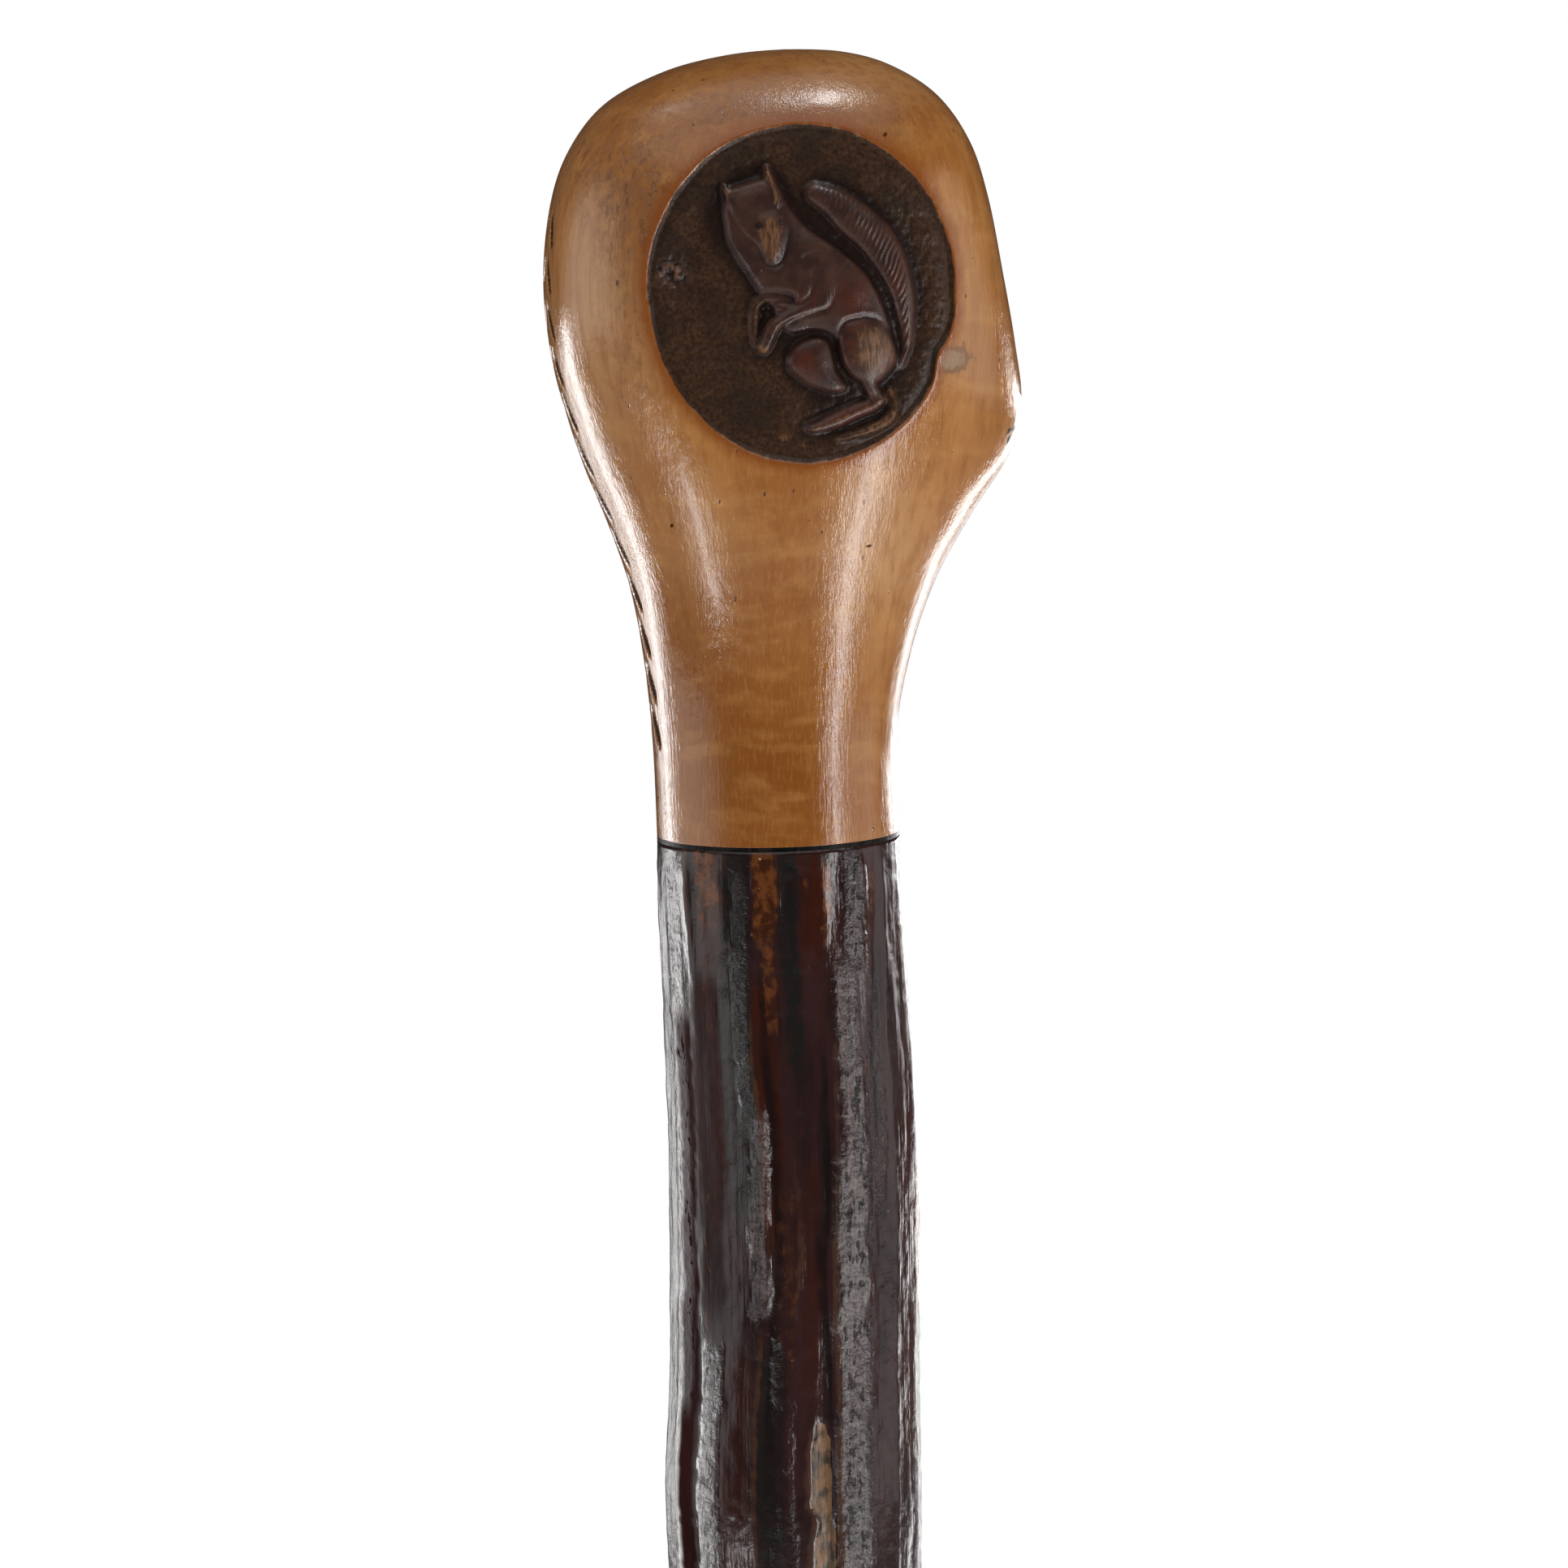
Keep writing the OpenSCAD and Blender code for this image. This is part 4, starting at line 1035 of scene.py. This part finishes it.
# %% Tools for finishes
def effect(name, inputs, build):
    """Makes a node group of one output, whose socket build(inputs by name) returns. Gives a
    function that places the group with values in the order of its inputs."""
    group = bpy.data.node_groups.new(name, "ShaderNodeTree")
    for label, value in inputs.items():
        socket = group.interface.new_socket(label, in_out="INPUT", socket_type="NodeSocketFloat")
        socket.default_value = value
    group.interface.new_socket("Value", in_out="OUTPUT", socket_type="NodeSocketFloat")
    TREES.append(group)
    result = build(group.nodes.new("NodeGroupInput").outputs)
    fill(group.nodes.new("NodeGroupOutput").inputs[0], result)
    TREES.pop()
    return lambda *values: linked("Group", zip(inputs, values), node_tree=group).outputs[0]

def scaled(across, along):
    """The piece's coordinates in units of `across` mm sideways and `along` mm upward."""
    size = linked("CombineXYZ", {0: across, 1: across, 2: along}).outputs[0]
    in_mm = vector("MULTIPLY", linked("TexCoord").outputs["Object"], (1 / MM, 1 / MM, 1 / MM))
    return vector("DIVIDE", in_mm, size)

def noise(place, detail=2, rough=.5, give=0):
    return linked("TexNoise", {"Vector": place, "Scale": 1, "Detail": detail,
                               "Roughness": rough}).outputs[give]

# %% Fibres: long wandering streaks
def build_fibres(given):
    bend = linked("VectorMath", {0: noise(scaled(9, 25), give="Color"),
                                 "Scale": given["Wander"]}, operation="SCALE").outputs[0]
    place = vector("ADD", scaled(given["Across"], given["Along"]), bend)
    return noise(place, given["Detail"], .55)

fibres = effect("fibres", {"Across": .5, "Along": 10, "Detail": 3, "Wander": 1}, build_fibres)

# %% Patches, specks and scratches
def build_patches(given):
    tall = times(given["Size"], given["Tall"])
    return noise(scaled(given["Size"], tall), given["Detail"], .6)

def build_specks(given):
    place = scaled(given["Gap"], times(given["Gap"], given["Tall"]))
    cells = linked("TexVoronoi", {"Vector": place, "Scale": 1}).outputs
    pick = linked("SeparateColor", {0: cells["Color"]}).outputs
    reach = times(given["Size"], maths("ADD", pick[1], .4))
    near = remap(maths("DIVIDE", cells["Distance"], reach), 1, .6)
    return times(near, maths("LESS_THAN", pick[0], given["Share"]))

def build_scratches(given):
    total = 0
    for turn in (.3, 1.5, 2.6):
        place = linked("VectorRotate", {"Vector": scaled(given["Gap"], given["Gap"]),
                                        "Angle": turn, "Axis": (1, 1, .4)}).outputs[0]
        line = noise(vector("MULTIPLY", place, (.06, 1.4, .3)), 1)
        total = maths("MAXIMUM", total, remap(line, .6, .66))
    return total

patches = effect("patches", {"Size": 5, "Tall": 1, "Detail": 3}, build_patches)
specks = effect("specks", {"Gap": 1, "Tall": 1, "Size": .2, "Share": .3}, build_specks)
scratches = effect("scratches", {"Gap": 1}, build_scratches)

# %% Colours and surfaces
def finish(name):
    """A new material, and its Principled surface."""
    made = blank(bpy.data.materials.new(name))
    surface = linked("BsdfPrincipled")
    linked("OutputMaterial", {"Surface": surface.outputs[0]})
    return made, surface

def tint(share, under, over):
    """One colour over another, as far as the share goes."""
    return linked("Mix", {0: share, 6: under, 7: over}, data_type="RGBA").outputs[2]

def coats(color, *layers):
    """Lays one (share, colour) after another over a colour."""
    for share, over in layers:
        color = tint(share, color, over)
    return color

def noted(name):
    """A value that the mesh carries at its points."""
    return linked("Attribute", attribute_name=name).outputs["Fac"]

def together(*parts):
    """The sum of (value, weight) pairs."""
    total = 0
    for part in parts:
        total = maths("MULTIPLY_ADD", *part, total)
    return total

def dress(surface, bumps, **values):
    """Raises the surface by a sum in mm, and fills its inputs; underscores stand for spaces."""
    raised = linked("Bump", {"Height": together(*bumps), "Distance": MM}).outputs[0]
    for key, value in {"Normal": raised, **values}.items():
        fill(surface.inputs[key.replace("_", " ")], value)

# %% [markdown]
# ## The knob's wood
#
# The knob is pale wood under a satin varnish, honey in the main with darker amber patches, and
# lighter in patches where sheen and light are painted into the wood. The bowl of the carving was
# stained almost black, the stain crept over the rim, and high places are rubbed back to the wood;
# painted shade darkens the ground round the figure, and painted highlights lie on its edges as
# bare wood. One material holds all of this, mixed by values that the mesh carries; separate ones
# would show a hard line where they meet.

# %% Bare wood
wood, surface = finish("honey wood")
streaks, fine = fibres(1.1, 30, 4, 1.6), fibres(.17, 5, 3, 3)
curl, flecks = fibres(7, 2.2, 3, 1.5), fibres(.28, 1.7, 2, 1)
broad, mottle, dapple = patches(13, 1.7, 3), patches(1.5, 1.3, 5), patches(.8, 1.5, 4)
pores, dots = specks(1.5, 2, .1, .35), specks(.6, 1.4, .05, .3)
scuff, flaw, cut, rim_out = noted("scuff"), noted("flaw"), noted("cut"), noted("rim_out")
scuffed = times(scuff, remap(dapple, .5, .64))
knotted = together((noted("knot"), 1), (dapple, .8), (mottle, .4))
color = coats(
    tint(remap(broad, .38, .62), (.262, .092, .017), (.335, .136, .032)),
    # Painted light: lighter wood where the sheen and the side light fall.
    (noted("painted_light"), (.43, .228, .098)),
    (noted("amber"), (.182, .051, .006)),
    (remap(streaks, .4, .7, 0, .5), (.2, .064, .012)),
    (remap(flecks, .45, .75, 0, .16), (.5, .26, .09)),
    (remap(curl, .45, .75, 0, .3), (.46, .23, .07)),
    (times(scuff, remap(mottle, .35, .6, 0, .75)), (.205, .087, .034)),
    (times(scuffed, .6), (.13, .048, .018)),
    (times(pores, .8), (.055, .022, .008)),
    (times(dots, .5), (.11, .04, .01)),
    (remap(knotted, .75, .95, 0, .7), (.13, .065, .032)),
    (remap(knotted, 1.1, 1.35, 0, .8), (.26, .165, .095)),
    (remap(flaw, .3, .6), (.016, .009, .006)),
    (remap(cut, .02, .2), (.032, .014, .008)))

# %% Stain in the bowl and over its rim
grit, cloud, zone = patches(.42, 1, 3), patches(2.2, 1, 3), patches(7, 1, 2)
hollow_here, wear_and_highlights_here, figure_here = noted("hollow"), noted("wear_and_highlights"), noted("figure")
ragged = together((rim_out, 1), (mottle, 1.6), (fine, .6))
inside = remap(together((rim_out, 1), (mottle, .5), (fine, .16)), .38, .16)
bared = together((wear_and_highlights_here, 1), (hollow_here, -.35), (dapple, .8), (grit, .7))
# Crust along the rim's edge; its pale specks are partly painted highlight, where the edge catches
# the light.
rim_crust_and_glints = times(remap(maths("ABSOLUTE", rim_out), .35, .1), remap(dapple, .56, .64))
ground = coats(tint(remap(grit, .34, .7), (.026, .013, .008), (.06, .028, .013)),
               (remap(zone, .45, .6, 0, .5), (.018, .012, .009)))
animal = tint(remap(cloud, .35, .65), (.03, .013, .01), (.052, .022, .014))
bare_wood = tint(remap(flecks, .4, .6), (.07, .028, .012), (.16, .07, .028))
stain = coats(
    ground, (figure_here, animal),
    (times(noted("red"), remap(cloud, .3, .55)), (.068, .014, .006)),
    # Bare wood on worn places, and painted highlights laid on as bare wood.
    (remap(bared, 1, 1.6, 0, .85), bare_wood),
    (remap(hollow_here, .1, .9, 0, .6), (.011, .006, .005)),
    # Painted shade, near black, round the figure, in the eye sockets and left of the head.
    (remap(noted("deep"), 0, .8, 0, .85), (.012, .006, .005)))
color = coats(color, (remap(ragged, 2.9, 1.2, 0, .85), (.2, .052, .008)),
              # Pale specks along the rim: crust, and partly painted highlight.
              (inside, stain), (times(rim_crust_and_glints, .3), (.3, .18, .11)))

# %% Varnish and relief of the wood
dull = maths("MAXIMUM", remap(flaw, .2, .5), remap(cut, .02, .2))
dress(surface, ((fine, .025), (flecks, .022), (streaks, .04), (pores, -.06), (mottle, .04),
                (dapple, .04), (scuffed, -.03)),
      Base_Color=color, Coat_Roughness=.08,
      Coat_Weight=remap(maths("ADD", inside, dull), 0, 1, .12, 0),
      Roughness=together((mottle, .1), (fine, .06), (inside, .16), (scuff, .06),
                         (wear_and_highlights_here, .1), (.05, 1)),
      Specular_IOR_Level=together((inside, -.35), (figure_here, .22), (dull, -.45), (.5, 1)))
finish_piece(handle, wood, "handle_wood", "handle")

# %% [markdown]
# ## The stick's bark
#
# The bark is nearly black with a plum cast. Red-brown and orange inner bark shows where ridges
# are worn, most of all near the joint, and bare wood shows in the chips and the trimmed
# shoots. The varnish is glossy, so the shape of the bark does most of the work, and along the
# bands where the bark catches the lamps a whitish sheen is painted in as well.

# %% Bark
bark_finish, surface = finish("varnished bark")
strand, fine = fibres(.7, 14, 4, 1.2), fibres(.22, 3.2, 3, 2)
cloud, crinkle, crumple = patches(4, 4, 4), patches(1.2, .42, 5), patches(1.1, 1.3, 5)
dust, lichen = specks(1.9, 1.3, .06, .08), specks(1, .8, .16, .3)
sheen_band, hollow_here, dull = noted("sheen_band"), noted("hollow"), noted("dull")
pits = times(remap(patches(.7, 2.2, 4), .56, .64), sheen_band)
worn = together((hollow_here, -1), (crumple, .9))
warmth = together((noted("warm"), 1), (fine, .5), (crumple, .5))
# Where the painted sheen shows: the sheen bands, mottled.
painted_sheen = together((sheen_band, .55), (crinkle, .5), (strand, .5), (fine, .4))
bare = remap(together((noted("bare"), 1), (crumple, .6)), .62, .84)
stained = coats(tint(remap(crumple, .42, .6), (.038, .011, .004), (.11, .033, .008)),
                (lichen, (.34, .25, .15)))
raw = tint(remap(together((crumple, .6), (strand, .4)), .4, .56),
           (.035, .022, .013), (.155, .078, .032))

# %% [markdown]
# The sawn top and the tenon are bare wood. They are told by their place: near the axis, or
# below the shoulder of the ferrule.

# %% Colours of the bark, from the ground up
split = linked("SeparateXYZ", {0: linked("TexCoord").outputs["Object"]}).outputs
from_axis = maths("SQRT", together(*((maths("POWER", split[i], 2), 1) for i in (0, 1))))
turned = maths("MAXIMUM", remap(from_axis, .0046, .0044),
               remap(split[2], shoulder_z * MM + .0002, shoulder_z * MM))
color = coats(
    tint(remap(cloud, .38, .62), (.016, .007, .007), (.028, .011, .011)),
    (remap(strand, .48, .68, 0, .7), (.027, .01, .008)),
    (times(noted("red"), remap(strand, .3, .55, .4, 1)), (.034, .007, .003)),
    (times(noted("green"), remap(crumple, .6, .4, .5, 1)), (.009, .009, .008)),
    (remap(worn, .95, 1.5, 0, .5), (.08, .036, .02)),
    (remap(hollow_here, .2, .9, 0, .8), (.006, .004, .004)),
    (remap(warmth, .75, 1.3), stained),
    # Painted sheen: whitish grey mottled over the sheen bands.
    (remap(painted_sheen, 1.12, 1.36, 0, .45), (.15, .132, .122)),
    (bare, raw),
    (remap(noted("scar"), .3, .8, 0, .8), (.085, .045, .026)),
    (times(dust, .6), (.16, .11, .07)),
    (pits, (.006, .005, .005)),
    (turned, (.42, .27, .14)))
crimped = times(crinkle, together((sheen_band, .1), (.015, 1)))
lumps = times(crumple, together((sheen_band, .38), (.06, 1)))
dress(surface, ((fine, .015), (strand, .06), (lumps, 1), (crimped, 1), (pits, -.08)),
      Base_Color=color,
      Roughness=together((crumple, .16), (fine, .06), (bare, .25), (dull, .3), (.04, 1)),
      Specular_IOR_Level=together((pits, -.4), (sheen_band, .3), (dull, -.42), (.42, 1)))
finish_piece(stick, bark_finish, "stick_bark", "stick")

# %% [markdown]
# ## Metal and rubber
#
# Handled brass stays bright on its high places and turns brown in its grooves. The steel plug
# is scratched by the ground and freckled with rust. The washer is hard rubber, with fine
# turning lines. Each gets a tone, patches and scratches from the groups above, and the metals
# specks as well.

# %% Brass
def brass(name, groove_heights=()):
    made, surface = finish(name)
    cloud, marks = patches(5, 1.4, 4), scratches(1.6)
    flecks = specks(1.8, 1, .16, .35)
    up = linked("SeparateXYZ", {0: linked("TexCoord").outputs["Object"]}).outputs[2]
    grime = remap(cloud, .5, .72, 0, .8)
    for height in groove_heights:
        gap = maths("ABSOLUTE", maths("SUBTRACT", up, height * MM))
        grime = maths("MAXIMUM", grime, remap(gap, .0006, .0001))
    color = coats(tint(grime, (.62, .42, .16), (.21, .125, .05)),
                  (times(marks, .6), (.8, .6, .28)),
                  (times(flecks, .7), (.1, .055, .028)))
    dress(surface, ((marks, -.012), (flecks, -.02), (cloud, .03)), Base_Color=color,
          Roughness=together((grime, .22), (cloud, .2), (marks, -.06), (.2, 1)),
          Metallic=remap(grime, 0, 1, 1, .75))
    return made

# %% Steel
def steel(name, rust):
    made, surface = finish(name)
    cloud, marks = patches(3, 1, 4), scratches(1.1)
    rusty = maths("MAXIMUM", specks(1.3, 1, .22, rust), remap(cloud, .66 - .1 * rust, .8))
    color = coats(tint(remap(cloud, .4, .62), (.44, .43, .41), (.3, .29, .275)),
                  (times(marks, .5), (.62, .61, .59)), (rusty, (.155, .062, .024)))
    dress(surface, ((marks, -.02), (rusty, .03), (cloud, .03)), Base_Color=color,
          Roughness=together((rusty, .35), (cloud, .2), (marks, -.05), (.22, 1)),
          Metallic=remap(rusty, 0, 1, 1, .1))
    return made

# %% Hard rubber
rubber, surface = finish("hard rubber")
rings, cloud, marks = fibres(30, .06, 2, 0), patches(2, 1, 3), scratches(.9)
color = coats(tint(remap(cloud, .4, .66), (.003, .003, .003), (.007, .005, .004)),
              (times(marks, .4), (.02, .018, .016)))
dress(surface, ((rings, .015), (marks, -.008)), Base_Color=color, Specular_IOR_Level=.08,
      Roughness=together((cloud, .2), (rings, .15), (.18, 1)))

# %% Onto their pieces
finish_piece(sleeve, brass("aged brass", (24.1, 29.2, 32.4)), "ferrule_brass", "ferrule")
finish_piece(plug, steel("worn steel", .45), "tip_steel", "ferrule_tip")
nail_brass = brass("nail brass")
for node, material in (("handle_spacer", rubber), ("joint_stud", steel("stud steel", .12)),
                       ("ferrule_nail_left", nail_brass), ("ferrule_nail_right", nail_brass)):
    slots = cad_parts[node].data.materials
    slots.clear()
    slots.append(material)
    print(node, "stays in view, in", material.name)

# %% [markdown]
# ## Sizes
#
# The visible model has to fill the CAD model's box and no more, so both boxes are kept.

# %% Keep both boxes
seen_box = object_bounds()
for name, box in (("CAD", cad_box), ("visible", seen_box)):
    print(name, [[round(v / MM, 2) for v in corner] for corner in box])
